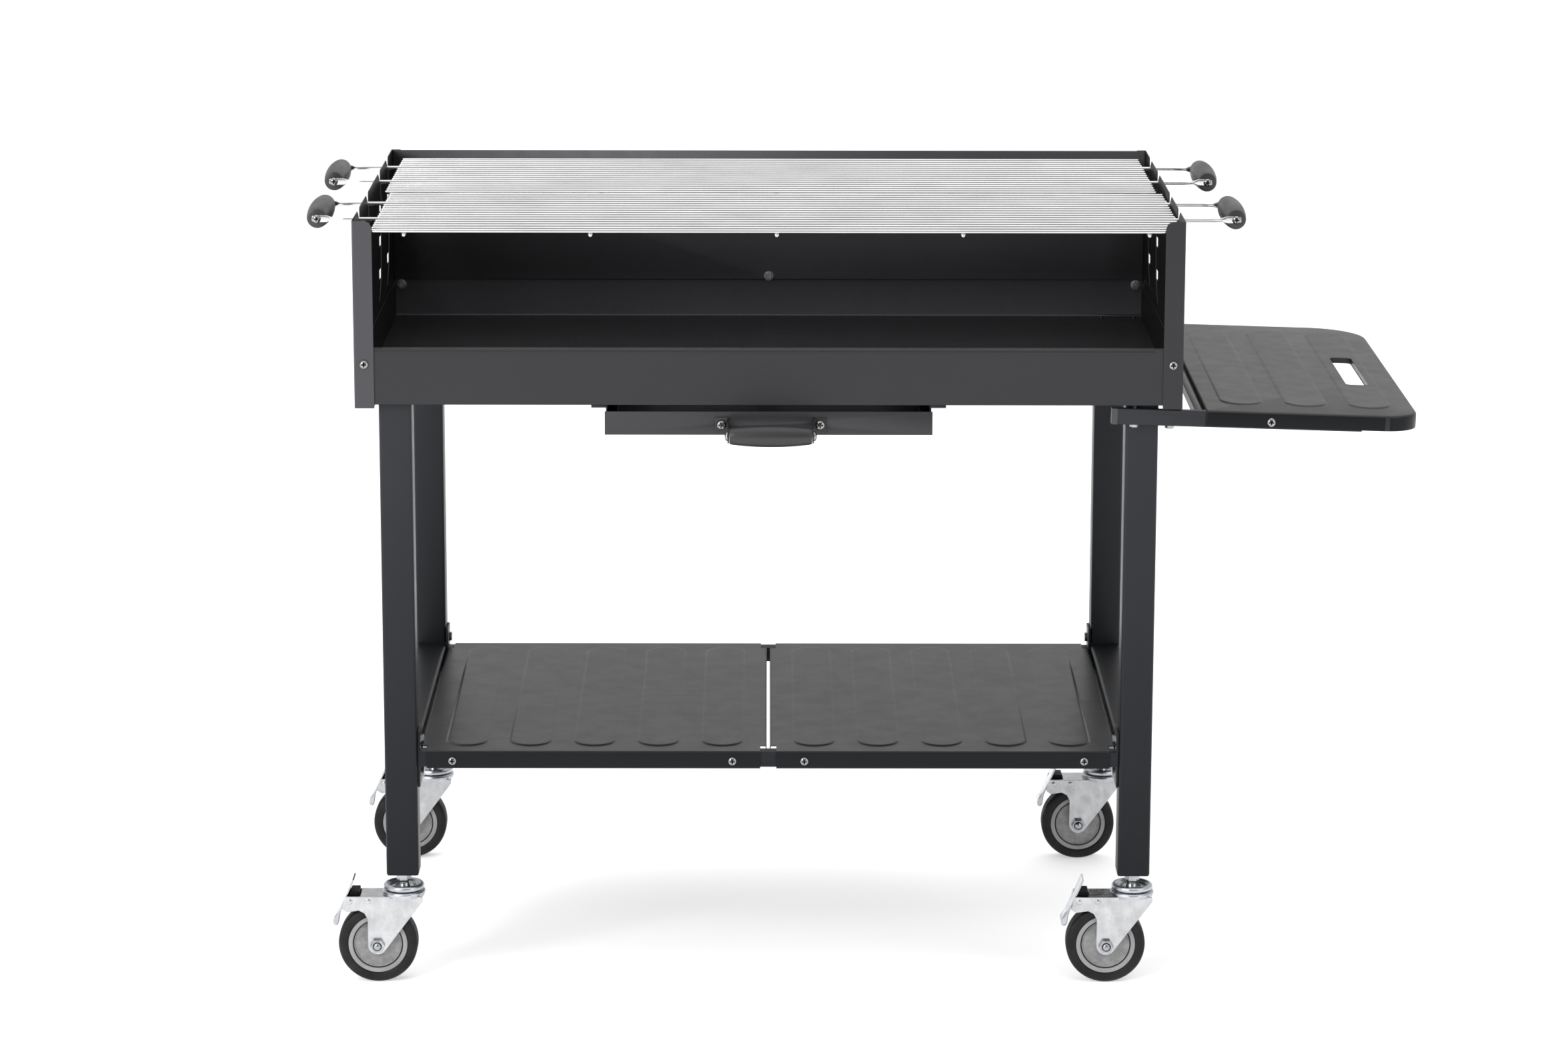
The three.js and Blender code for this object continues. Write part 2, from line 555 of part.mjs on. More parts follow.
// Each panel is a shallow pan turned upside down, with its corners notched out over the beams.
function shelfPanel(name, side) {
  const along = [shelfFrontY, shelfRearY];
  const panelX = bothWays(side, shelfPanelInner, shelfPanelOuter);
  const flangeZ = [shelfTop - SHELF_FLANGE_HEIGHT, shelfTop];
  const parts = [
    slab(panelX, along, [shelfTop - SHELF_SHEET, shelfTop]),
    slab(panelX, [shelfFrontY, shelfFrontY + SHELF_SHEET], flangeZ),
    slab(panelX, [shelfRearY - SHELF_SHEET, shelfRearY], flangeZ),
    slab(bothWays(side, shelfPanelInner, shelfPanelInner + SHELF_SHEET), along, flangeZ),
    slab(bothWays(side, shelfPanelOuter - SHELF_SHEET, shelfPanelOuter), along, flangeZ),
  ];
  const notchXs = [
    bothWays(side, shelfPanelInner - 1, shelfPanelInner + SHELF_NOTCH_WIDTH),
    bothWays(side, shelfPanelOuter - SHELF_NOTCH_WIDTH, shelfPanelOuter + 1),
  ];
  const notchYs = [
    [shelfFrontY - 1, beamTube.front + BEAM_DEPTH + SHELF_NOTCH_LEAD],
    [beamTube.rear - SHELF_NOTCH_LEAD, shelfRearY + 1],
  ];
  const notchZ = [flangeZ[0] - 1, shelfTop + 1];
  const notches = notchXs.flatMap((x) => notchYs.map((y) => slab(x, y, notchZ)));
  const reach = SHELF_SHEET + GAP + SHEET + 1;
  const firstRib = shelfPanelInner + SHELF_RIB_SIDE_MARGIN;
  const lastRib = shelfPanelOuter - SHELF_RIB_SIDE_MARGIN - SHELF_RIB_WIDTH;
  for (let i = 0; i < SHELF_RIBS; i += 1) {
    const start = firstRib + ((lastRib - firstRib) * i) / (SHELF_RIBS - 1);
    const ribX = bothWays(side, start, start + SHELF_RIB_WIDTH);
    const ribY = [shelfFrontY + SHELF_RIB_MARGIN, shelfRearY - SHELF_RIB_MARGIN];
    parts.push(rib(ribX, ribY, shelfTop - SHELF_SHEET / 2, SHELF_SHEET / 2 + SHELF_RIB_RISE));
  }
  for (const x of shelfScrewInsets) {
    parts.push(screw([side * x, shelfFrontY, shelfScrewZ], [0, -1, 0], reach));
    parts.push(screw([side * x, shelfRearY, shelfScrewZ], [0, 1, 0], reach));
  }
  piece(name, cut(join(...parts), ...notches), material.shelfCoat, cart);
}

for (const [sideName, side] of sides) {
  leg(`leg_front_${sideName}`, side, frontLegY, beamTube.front);
  leg(`leg_rear_${sideName}`, side, rearLegY, beamTube.rear);
  sideRail(`lower_rail_${sideName}`, side);
  shelfPanel(`lower_shelf_panel_${sideName}`, side);
}
shelfBeam('shelf_beam_front', beamTube.front);
shelfBeam('shelf_beam_rear', beamTube.rear);

// ---------------------------------------------------------------- firebox

const fasciaScrewX = BOX_WIDTH / 2 - FASCIA_SCREW_INSET;
const fasciaScrewZ = TRAY_UNDERSIDE + FASCIA_SCREW_HEIGHT;
const cornerBoltX = BOX_WIDTH / 2 - CORNER_BOLT_INSET;
const cornerBoltZ = TRAY_UNDERSIDE + CORNER_BOLT_HEIGHT;
const backBoltZ = TRAY_UNDERSIDE + BACK_BOLT_HEIGHT;

// The slot that a handle rod is let down in. Its mouth slopes down to the top seat. The channel behind
// the seat leads down past the pockets, leans forward, and has a slanting tail at its foot.
function slotOutline(rodY) {
  const seat = barZ - BAR_DIAMETER / 2 - GAP;
  const mouthFront = rodY - SLOT_LEAD;
  const front = (z) => mouthFront - (seat - z) * SLOT_SLANT;
  const channelFront = (z) => front(z) + SLOT_SEAT;
  const channelRear = (z) => channelFront(z) + SLOT_CHANNEL;
  const firstCeiling = seat - SLOT_FIRST_DROP + SLOT_POCKET_HEIGHT;
  const topRear = mouthFront + SLOT_TOP_SEAT + SLOT_CHANNEL;
  const points = [
    [mouthFront - SLOT_MOUTH_LEAD * (1 + 1 / SLOT_MOUTH_DROP), BOX_TOP + 1],
    [mouthFront, BOX_TOP - SLOT_MOUTH_DROP],
    [mouthFront, seat],
    [mouthFront + SLOT_TOP_SEAT, seat],
  ];
  for (let i = 0; i < SLOT_POCKETS; i += 1) {
    const floor = seat - SLOT_FIRST_DROP - i * SLOT_PITCH;
    const ceiling = floor + SLOT_POCKET_HEIGHT;
    points.push([channelFront(ceiling), ceiling], [front(floor), ceiling]);
    points.push([front(floor), floor], [channelFront(floor), floor]);
  }
  const [tailFront, foot] = points[points.length - 1];
  const tailEnd = [tailFront - SLOT_TAIL_SHIFT, foot - SLOT_TAIL_DROP];
  points.push(tailEnd, [tailEnd[0] + SLOT_TAIL_WIDTH, tailEnd[1]], [channelRear(foot), foot]);
  points.push([channelRear(firstCeiling), firstCeiling], [topRear, seat]);
  points.push([topRear, BOX_TOP - SLOT_CHAMFER], [topRear + SLOT_CHAMFER + 1, BOX_TOP + 1]);
  return polygon(points);
}

// A side panel is one folded sheet, with a flange at its front and one at its rear.
function sidePanel(name, side) {
  const outer = BOX_WIDTH / 2;
  const height = [TRAY_UNDERSIDE - BOX_PANEL_DROP, BOX_TOP];
  const mirrored = (points) => polygon(points.map(([u, v]) => [side * u, v]));
  const section = mirrored([
    [outer - FRONT_FLANGE, 0],
    [outer, 0],
    [outer, BOX_DEPTH],
    [outer - REAR_FLANGE, BOX_DEPTH],
    [outer - REAR_FLANGE, BOX_DEPTH - SHEET],
    [panelInnerX, BOX_DEPTH - SHEET],
    [panelInnerX, SHEET],
    [outer - FRONT_FLANGE, SHEET],
  ]);
  // What is cut off to ease the inner top corner of a flange in two slopes
  const corner = (inner) => {
    const eased = FLANGE_CORNER * (1 - Math.SQRT1_2);
    const slope = Math.SQRT2 + 1;
    return mirrored([
      [inner - 1, BOX_TOP + 1],
      [inner - 1, BOX_TOP - FLANGE_CORNER - slope],
      [inner + eased, BOX_TOP - eased],
      [inner + FLANGE_CORNER + slope, BOX_TOP + 1],
    ]);
  };
  const panel = cut(
    prism('z', section, ...height),
    prism('y', corner(outer - FRONT_FLANGE), -1, SHEET + 1),
    prism('y', corner(outer - REAR_FLANGE), BOX_DEPTH - SHEET - 1, BOX_DEPTH + 1),
  );
  const [across, beyond] = bothWays(side, panelInnerX - 1, outer + 1);
  const slots = handleRodYs.map((y) => prism('x', slotOutline(y), across, beyond));
  const holes = [
    clearanceHole([side * fasciaScrewX, -1, fasciaScrewZ], [side * fasciaScrewX, SHEET + 1, fasciaScrewZ]),
    clearanceHole(
      [side * cornerBoltX, BOX_DEPTH - SHEET - 1, cornerBoltZ],
      [side * cornerBoltX, BOX_DEPTH + 1, cornerBoltZ],
    ),
  ];
  piece(name, cut(panel, ...slots, ...holes), material.firebox, cart);
}

// The charcoal tray: its tall front wall is the fascia below the open front, and ash falls through
// the slots in its floor into the drawer.
function charcoalTray() {
  const across = [-trayHalfWidth, trayHalfWidth];
  const wallTop = TRAY_UNDERSIDE + TRAY_WALL_HEIGHT;
  const sideWallZ = [TRAY_UNDERSIDE, wallTop - BACK_PANEL_OVERLAP - GAP];
  const lipTop = TRAY_UNDERSIDE + TRAY_FRONT_HEIGHT;
  const lipRear = trayFrontY + TRAY_LIP_DEPTH;
  const parts = [
    slab(across, [trayFrontY, trayRearY], [TRAY_UNDERSIDE, trayFloorTop]),
    slab(across, [trayFrontY, trayFrontY + SHEET], [TRAY_UNDERSIDE, lipTop]),
    slab(across, [trayFrontY, lipRear], [lipTop - SHEET, lipTop]),
    slab(across, [lipRear - SHEET, lipRear], [lipTop - TRAY_LIP_DROP, lipTop]),
    slab(across, [trayRearY - SHEET, trayRearY], [TRAY_UNDERSIDE, wallTop]),
  ];
  const boltHoleRadius = SCREW_DIAMETER / 2 + ARM_BOLT_PLAY;
  const holes = [clearanceHole([0, trayRearY - SHEET - 1, backBoltZ], [0, trayRearY + 1, backBoltZ])];
  const nutFace = trayRearY - SHEET;
  const nutY = [nutFace - NUT_HEIGHT, nutFace + SHEET / 2];
  const screwSeat = BOX_DEPTH + GAP;
  for (const [, side] of sides) {
    const wallX = bothWays(side, trayHalfWidth - SHEET, trayHalfWidth);
    parts.push(slab(wallX, [trayFrontY, trayRearY], sideWallZ));
    const cornerX = side * cornerBoltX;
    parts.push(nut([cornerX, nutY[0], cornerBoltZ], [cornerX, nutY[1], cornerBoltZ]));
    parts.push(screw([cornerX, screwSeat, cornerBoltZ], [0, 1, 0], screwSeat - nutY[1]));
    const x = side * fasciaScrewX;
    const [before, behind] = [trayFrontY - 1, trayFrontY + SHEET + 1];
    holes.push(clearanceHole([x, before, fasciaScrewZ], [x, behind, fasciaScrewZ]));
  }
  for (const armY of [frontArmY, rearArmY]) {
    for (const offset of ARM_BOLTS) {
      const [x, y] = [armStart + offset, armY + SIDE_ARM_DEPTH / 2 + ARM_BOLT_OFFSET];
      holes.push(clearanceHole([x, y, TRAY_UNDERSIDE - 1], [x, y, trayFloorTop + 1], boltHoleRadius));
    }
  }
  for (let row = 0; row < ASH_SLOT_ROWS; row += 1) {
    for (let column = 0; column < ASH_SLOT_COLUMNS; column += 1) {
      const x = (column - (ASH_SLOT_COLUMNS - 1) / 2) * ASH_SLOT_PITCH_X;
      const y = ASH_SLOT_START + row * ASH_SLOT_PITCH_Y;
      const slotX = [x - ASH_SLOT_LENGTH / 2, x + ASH_SLOT_LENGTH / 2];
      const slotY = [y - ASH_SLOT_WIDTH / 2, y + ASH_SLOT_WIDTH / 2];
      holes.push(slab(slotX, slotY, [TRAY_UNDERSIDE - 1, trayFloorTop + 1]));
    }
  }
  piece('charcoal_tray', cut(join(...parts), ...holes), material.firebox, cart);
}

function backPanel() {
  const half = panelInnerX - GAP;
  const bottom = TRAY_UNDERSIDE + TRAY_WALL_HEIGHT - BACK_PANEL_OVERLAP;
  const face = backPanelRearY - SHEET;
  const panel = join(
    slab([-half, half], [face, backPanelRearY], [bottom, BOX_TOP - BACK_PANEL_DROP]),
    nut([0, face - NUT_HEIGHT, backBoltZ], [0, face + SHEET / 2, backBoltZ]),
    screw([0, trayRearY + GAP, backBoltZ], [0, 1, 0], trayRearY + GAP - backPanelRearY + SHEET / 2),
  );
  piece('back_panel', panel, material.firebox, cart);
}

// A screw and nut through the side panel's front flange and the end of the fascia behind it.
function fasciaScrew(name, side) {
  const x = side * fasciaScrewX;
  const nutFace = trayFrontY + SHEET + GAP;
  const solid = join(
    screw([x, -GAP, fasciaScrewZ], [0, -1, 0], GAP + nutFace + NUT_HEIGHT / 2),
    nut([x, nutFace, fasciaScrewZ], [x, nutFace + NUT_HEIGHT, fasciaScrewZ]),
  );
  piece(name, solid, material.screw, cart);
}

for (const [sideName, side] of sides) {
  sidePanel(`side_panel_${sideName}`, side);
  fasciaScrew(`fascia_screw_${sideName}`, side);
}
charcoalTray();
backPanel();

// ---------------------------------------------------------------- grips

// A barrel-shaped grip along the x or y axis, with a screw in each end. The screw heads stand off by
// the thickness of the plate that they clamp.
function grip(name, [x, y, z], axis, { length, middleDiameter, endDiameter, plate }) {
  const [endRadius, middleRadius] = [endDiameter / 2, middleDiameter / 2];
  const profile = [[0, -length / 2]];
  for (let i = -GRIP_STEPS; i <= GRIP_STEPS; i += 1) {
    const share = i / GRIP_STEPS;
    profile.push([middleRadius - (middleRadius - endRadius) * share * share, (share * length) / 2]);
  }
  profile.push([0, length / 2]);
  const along = axis === 'x' ? [1, 0, 0] : [0, 1, 0];
  const headSeat = length / 2 + plate + 2 * GAP;
  const parts = [turned(profile, [x, y, z], along, GRIP_SIDES)];
  for (const [, side] of sides) {
    const place = [x + along[0] * side * headSeat, y + along[1] * side * headSeat, z];
    const reach = plate + 2 * GAP + 2;
    parts.push(screw(place, along.map((share) => share * side), reach));
  }
  piece(name, join(...parts), material.grip, cart);
}

// ---------------------------------------------------------------- cooking grids

function handleRodTool(y, radius) {
  return bar([-BOX_WIDTH, y, barZ], [BOX_WIDTH, y, barZ], radius, BAR_SIDES);
}

function grille(name, firstY, shift) {
  const parts = [];
  for (let row = 0; row < BAR_COUNT; row += 1) {
    const y = firstY + row * barPitch;
    if (!HANDLE_ROWS.includes(row)) {
      parts.push(bar([shift - barHalf, y, barZ], [shift + barHalf, y, barZ], BAR_DIAMETER / 2, BAR_SIDES));
    }
  }
  const [start, end] = [firstY - CROSS_OVERHANG, firstY + gridDepth + CROSS_OVERHANG];
  const crossRods = [];
  const crossReach = barHalf - CROSS_INSET;
  for (let i = 0; i < CROSS_COUNT; i += 1) {
    const x = shift + crossReach * ((2 * i) / (CROSS_COUNT - 1) - 1);
    crossRods.push(bar([x, start, crossZ], [x, end, crossZ], CROSS_DIAMETER / 2, BAR_SIDES));
  }
  const grooves = HANDLE_ROWS.map((row) => handleRodTool(firstY + row * barPitch, BAR_DIAMETER / 2 + GAP));
  const seated = cut(join(...crossRods), ...grooves);
  piece(name, join(seated, ...parts), material.gridSteel, cart);
}

// A handle rod runs the whole width of the grid, out through both side panels, and bends in at each
// end to a flattened paddle that a grip is screwed to.
function handleRod(name, y, inward, shift) {
  const radius = BAR_DIAMETER / 2;
  const paddleY = y + inward * HANDLE_JOG;
  const paddleTip = gripReach + PADDLE_HOLE_INSET;
  const paddleStart = paddleTip - PADDLE_LENGTH;
  const jogStart = paddleStart - HANDLE_JOG_LENGTH;
  const parts = [bar([shift - jogStart, y, barZ], [shift + jogStart, y, barZ], radius, BAR_SIDES)];
  const holes = [];
  for (const [, side] of sides) {
    const jogEnds = [
      [shift + side * (jogStart - radius / 4), y, barZ],
      [shift + side * (paddleStart + radius), paddleY, barZ],
    ];
    parts.push(bar(...jogEnds, radius, BAR_SIDES));
    const [near, far] = bothWays(side, paddleStart, paddleTip);
    const paddleZ = [barZ - PADDLE_HEIGHT / 2, barZ + PADDLE_HEIGHT / 2];
    const outline = roundedRectangle([shift + near, shift + far], paddleZ, evenCorners(PADDLE_CORNER));
    parts.push(prism('y', outline, paddleY - PADDLE_THICKNESS / 2, paddleY + PADDLE_THICKNESS / 2));
    const hole = [shift + side * gripReach, barZ];
    const [before, behind] = [paddleY - PADDLE_THICKNESS, paddleY + PADDLE_THICKNESS];
    holes.push(clearanceHole([hole[0], before, hole[1]], [hole[0], behind, hole[1]]));
  }
  piece(name, cut(join(...parts), ...holes), material.gridSteel, cart);
}

function grid(label, firstY, shift) {
  grille(`grid_${label}`, firstY, shift);
  const [nearY, farY] = HANDLE_ROWS.map((row) => firstY + row * barPitch);
  handleRod(`grid_${label}_handle_rod_near`, nearY, 1, shift);
  handleRod(`grid_${label}_handle_rod_far`, farY, -1, shift);
  for (const [sideName, side] of sides) {
    const place = [shift + side * gripReach, (nearY + farY) / 2, barZ];
    grip(`grid_${label}_grip_${sideName}`, place, 'y', {
      length: gridGripLength,
      middleDiameter: GRID_GRIP_MIDDLE_DIAMETER,
      endDiameter: GRID_GRIP_END_DIAMETER,
      plate: PADDLE_THICKNESS,
    });
  }
}

grid('front', frontGridY, GRID_FRONT_SHIFT);
grid('rear', rearGridY, GRID_REAR_SHIFT);

// ---------------------------------------------------------------- ash drawer

const drawerFaceY = DRAWER_FRONT_SETBACK;
const drawerLipOuter = DRAWER_BODY_WIDTH / 2 + DRAWER_LIP;
const drawerRailInner = drawerLipOuter + DRAWER_SIDE_PLAY;
const drawerGripY = drawerFaceY - DRAWER_gripReach;
const drawerGripZ = bracketScrewZ - DRAWER_GRIP_DROP;
const bracketArm = DRAWER_GRIP_LENGTH / 2 + GAP; // grip's middle to the inner face of a bracket
const bracketScrewOffset = bracketArm + BRACKET_SHEET + (BRACKET_FOOT_WIDTH - BRACKET_SHEET) / 2;

function ashDrawer() {
  const half = DRAWER_BODY_WIDTH / 2;
  const [bodyStart, bodyEnd] = [drawerFaceY, drawerFaceY + DRAWER_BODY_DEPTH];
  const wallZ = [drawerBottom, drawerLipTop];
  const parts = [
    slab(
      [-DRAWER_WIDTH / 2, DRAWER_WIDTH / 2],
      [drawerFaceY, drawerFaceY + SHEET],
      [drawerBottom, drawerFrontTop],
    ),
    slab([-half, half], [bodyStart, bodyEnd], [drawerBottom, drawerBottom + SHEET]),
    slab([-half, half], [bodyEnd - SHEET, bodyEnd], wallZ),
  ];
  for (const [, side] of sides) {
    parts.push(slab(bothWays(side, half - SHEET, half), [bodyStart, bodyEnd], wallZ));
    const lipZ = [drawerLipTop - SHEET, drawerLipTop];
    const lipY = [drawerFaceY + DRAWER_RAIL_SETBACK, bodyEnd];
    parts.push(slab(bothWays(side, half - SHEET, drawerLipOuter), lipY, lipZ));
  }
  const holes = sides.map(([, side]) => {
    const x = DRAWER_GRIP_SHIFT + side * bracketScrewOffset;
    return clearanceHole([x, drawerFaceY - 1, bracketScrewZ], [x, drawerFaceY + SHEET + 1, bracketScrewZ]);
  });
  piece('ash_drawer', cut(join(...parts), ...holes), material.powderCoat, cart);
}

// A rail hangs below the tray and carries the lip of the drawer on its ledge.
function drawerRail(name, side) {
  const start = drawerFaceY + SHEET + DRAWER_RAIL_SETBACK;
  const along = [start, start + DRAWER_RAIL_LENGTH];
  const flangeTop = TRAY_UNDERSIDE - GAP;
  const ledgeTop = drawerLipTop - SHEET - GAP;
  const webOuter = drawerRailInner + SHEET;
  const webX = bothWays(side, drawerRailInner, webOuter);
  const flangeX = bothWays(side, drawerRailInner, webOuter + DRAWER_RAIL_FLANGE);
  const ledgeX = bothWays(side, drawerRailInner - DRAWER_RAIL_LEDGE, webOuter);
  const rail = join(
    slab(webX, along, [ledgeTop - SHEET, flangeTop]),
    slab(flangeX, along, [flangeTop - DRAWER_RAIL_FLANGE_SHEET, flangeTop]),
    slab(ledgeX, along, [ledgeTop - SHEET, ledgeTop]),
  );
  piece(name, rail, material.powderCoat, cart);
}

// An angle bracket: its foot is screwed to the drawer front, and its arm carries an end of the grip.
function handleBracket(name, side) {
  const inner = DRAWER_GRIP_SHIFT + side * bracketArm;
  const footBack = drawerFaceY - GAP;
  const footFront = footBack - BRACKET_SHEET;
  const half = BRACKET_FOOT_HEIGHT / 2;
  const between = (near, far) => [Math.min(near, far), Math.max(near, far)];
  const foot = slab(
    between(inner, inner + side * BRACKET_FOOT_WIDTH),
    [footFront, footBack],
    [bracketScrewZ - half, bracketScrewZ + half],
  );
  const armOutline = new THREE.Shape();
  armOutline.moveTo(footBack, bracketScrewZ + half);
  armOutline.lineTo(drawerGripY, drawerGripZ + half);
  armOutline.absarc(drawerGripY, drawerGripZ, half, Math.PI / 2, (3 * Math.PI) / 2);
  armOutline.lineTo(footBack, bracketScrewZ - half);
  const [nearFace, farFace] = between(inner, inner + side * BRACKET_SHEET);
  const screwX = DRAWER_GRIP_SHIFT + side * bracketScrewOffset;
  const bracket = join(
    foot,
    prism('x', armOutline, nearFace, farFace),
    screw([screwX, footFront, bracketScrewZ], [0, -1, 0], BRACKET_SHEET + GAP + SHEET + 1),
  );
  const gripScrewStart = [nearFace - 1, drawerGripY, drawerGripZ];
  const hole = clearanceHole(gripScrewStart, [farFace + 1, drawerGripY, drawerGripZ]);
  piece(name, cut(bracket, hole), material.powderCoat, cart);
}

ashDrawer();
for (const [sideName, side] of sides) {
  drawerRail(`drawer_rail_${sideName}`, side);
  handleBracket(`drawer_handle_bracket_${sideName}`, side);
}
grip('drawer_grip', [DRAWER_GRIP_SHIFT, drawerGripY, drawerGripZ], 'x', {
  length: DRAWER_GRIP_LENGTH,
  middleDiameter: DRAWER_GRIP_MIDDLE_DIAMETER,
  endDiameter: DRAWER_GRIP_END_DIAMETER,
  plate: BRACKET_SHEET,
});

// ---------------------------------------------------------------- side shelf

// The shelf and its arms hang by a small angle about the inner ends of the arms.
const shelfHinge = new THREE.Group();
shelfHinge.position.set(armStart, 0, armTop);
shelfHinge.rotation.y = THREE.MathUtils.degToRad(SIDE_SHELF_DROOP);
const sideShelf = new THREE.Group();
sideShelf.position.set(-armStart, 0, -armTop);
shelfHinge.add(sideShelf);
cart.add(shelfHinge);

const sideShelfTop = armTop + GAP + SHELF_SHEET;
const sideShelfFrontY = frontArmY - GAP - SHELF_SHEET;
const sideShelfRearY = rearArmY + SIDE_ARM_DEPTH + GAP + SHELF_SHEET;
const sideShelfScrewX = sideShelfX[0] + SIDE_SHELF_SCREW_INSET;
const sideShelfScrewZ = sideShelfTop - SIDE_SHELF_SCREW_DROP;
const sideShelfScrewReach = SHELF_SHEET + GAP + SIDE_ARM_WALL + 1;

function shelfArm(name, armY, screwY) {
  const [low, high] = [armTop - SIDE_ARM_HEIGHT, armTop];
  const end = armStart + SIDE_ARM_LENGTH;
  const armRear = armY + SIDE_ARM_DEPTH;
  const tube = cut(
    slab([armStart, end], [armY, armRear], [low, high]),
    slab(
      [armStart + SIDE_ARM_END_CAP, end + 1],
      [armY + SIDE_ARM_WALL, armRear - SIDE_ARM_WALL],
      [low + SIDE_ARM_WALL, high - SIDE_ARM_WALL],
    ),
    clearanceHole(
      [sideShelfScrewX, screwY - SIDE_ARM_WALL - 1, sideShelfScrewZ],
      [sideShelfScrewX, screwY + SIDE_ARM_WALL + 1, sideShelfScrewZ],
    ),
  );
  const bolts = ARM_BOLTS.map((offset) => {
    const sag = (offset + SCREW_DIAMETER) * Math.tan(shelfHinge.rotation.y);
    const reach = trayFloorTop + sag + ARM_BOLT_END - low;
    const place = [armStart + offset, armY + SIDE_ARM_DEPTH / 2 + ARM_BOLT_OFFSET, low];
    return screw(place, [0, 0, -1], reach, ARM_BOLT_HEAD);
  });
  piece(name, join(tube, ...bolts), material.powderCoat, sideShelf);
}

function crossbar() {
  const end = sideShelfX[0] - CROSSBAR_SPACING;
  const y = [frontArmY + SIDE_ARM_DEPTH + GAP, rearArmY - GAP];
  const solid = slab([end - CROSSBAR_WIDTH, end], y, [armTop - CROSSBAR_HEIGHT, armTop]);
  piece('side_shelf_crossbar', solid, material.powderCoat, sideShelf);
}

function sideShelfTray() {
  const [x, y] = [sideShelfX, [sideShelfFrontY, sideShelfRearY]];
  const skirtBottom = sideShelfTop - SIDE_SHELF_SKIRT;
  const outer = roundedRectangle(x, y, [0, SIDE_SHELF_CORNER_FRONT, SIDE_SHELF_CORNER_REAR, 0]);
  const innerX = [x[0] + SHELF_SHEET, x[1] - SHELF_SHEET];
  const innerY = [y[0] + SHELF_SHEET, y[1] - SHELF_SHEET];
  const innerCorners = [0, SIDE_SHELF_CORNER_FRONT - SHELF_SHEET, SIDE_SHELF_CORNER_REAR - SHELF_SHEET, 0];
  const inner = roundedRectangle(innerX, innerY, innerCorners);
  const pan = cut(
    prism('z', outer, skirtBottom, sideShelfTop, WIDE_ARC_STEPS),
    prism('z', inner, skirtBottom - 1, sideShelfTop - SHELF_SHEET, WIDE_ARC_STEPS),
  );
  const ribs = SIDE_RIB_STARTS.map((start) => {
    const ribX = [sideShelfX[0] + start, sideShelfX[0] + start + SIDE_RIB_WIDTH];
    const ribY = [sideShelfFrontY + SIDE_RIB_MARGIN, sideShelfRearY - SIDE_RIB_MARGIN];
    return rib(ribX, ribY, sideShelfTop - SHELF_SHEET / 2, SHELF_SHEET / 2 + SIDE_RIB_RISE);
  });
  const passages = [frontArmY, rearArmY].map((armY) => {
    const passageX = [sideShelfX[0] - 1, sideShelfX[0] + SHELF_SHEET + 1];
    return slab(passageX, [armY - GAP, armY + SIDE_ARM_DEPTH + GAP], [skirtBottom - 1, armTop + GAP]);
  });
  const slotX = sideShelfX[1] - HAND_SLOT_INSET;
  const slotOutlineXY = roundedRectangle(
    [slotX - HAND_SLOT_WIDTH / 2, slotX + HAND_SLOT_WIDTH / 2],
    [HAND_SLOT_SETBACK - HAND_SLOT_LENGTH / 2, HAND_SLOT_SETBACK + HAND_SLOT_LENGTH / 2],
    evenCorners(HAND_SLOT_CORNER),
  );
  const handSlot = prism('z', slotOutlineXY, skirtBottom, sideShelfTop + SIDE_RIB_RISE + 1);
  const screws = [
    screw([sideShelfScrewX, sideShelfFrontY, sideShelfScrewZ], [0, -1, 0], sideShelfScrewReach),
    screw([sideShelfScrewX, sideShelfRearY, sideShelfScrewZ], [0, 1, 0], sideShelfScrewReach),
  ];
  const tray = cut(join(pan, ...ribs), ...passages, handSlot);
  piece('side_shelf', join(tray, ...screws), material.shelfCoat, sideShelf);
}

shelfArm('side_shelf_arm_front', frontArmY, frontArmY);
shelfArm('side_shelf_arm_rear', rearArmY, rearArmY + SIDE_ARM_DEPTH);
crossbar();
sideShelfTray();

// ---------------------------------------------------------------- castors

const axlePlace = { x: -CASTOR_TRAIL, z: WHEEL_RADIUS };
const forkInner = FORK_WIDTH / 2 - FORK_SHEET;

// The stem with its nut, and the upper race that it carries. It turns with the leg.
function castorStem(name, castor) {
  const rimMiddle = RACE_RADIUS - RACE_RIM;
  const base = RACE_LOWER_TOP + RACE_GAP;
  const profile = [[0, base]];
  for (let i = 0; i <= RACE_RIM_STEPS; i += 1) {
    const angle = (-0.5 + (1.5 * i) / RACE_RIM_STEPS) * Math.PI;
    profile.push([rimMiddle + RACE_RIM * Math.cos(angle), base + RACE_RIM + RACE_RIM * Math.sin(angle)]);
  }
  profile.push([rimMiddle - RACE_RIM, base + RACE_DISC], [0, base + RACE_DISC]);
  const nutTop = LEG_BOTTOM - GAP;
  const stem = join(
    turned(profile, [0, 0, 0], [0, 0, 1], RACE_SEGMENTS),
    bar([0, 0, base + 1], [0, 0, LEG_BOTTOM + STEM_LENGTH], STEM_RADIUS, SHAFT_SIDES),
    nut([0, 0, nutTop - STEM_NUT_HEIGHT], [0, 0, nutTop], STEM_NUT_RADIUS),
  );
  piece(name, stem, material.zinc, castor);
}

function forkPlateOutline() {
  const shape = new THREE.Shape();
  const footStart = THREE.MathUtils.degToRad(FORK_FOOT_START);
  shape.moveTo(FORK_FRONT, FORK_TOP);
  shape.lineTo(FORK_FRONT, FORK_TOP - FORK_SHOULDER);
  shape.lineTo(
    axlePlace.x + FORK_FOOT_RADIUS * Math.cos(footStart),
    axlePlace.z + FORK_FOOT_RADIUS * Math.sin(footStart),
  );
  shape.absarc(axlePlace.x, axlePlace.z, FORK_FOOT_RADIUS, footStart, -Math.PI, true);
  for (const [x, z] of FORK_REAR_EDGE) shape.lineTo(x, z);
  shape.lineTo(FORK_REAR_TOP, FORK_TOP);
  return shape;
}

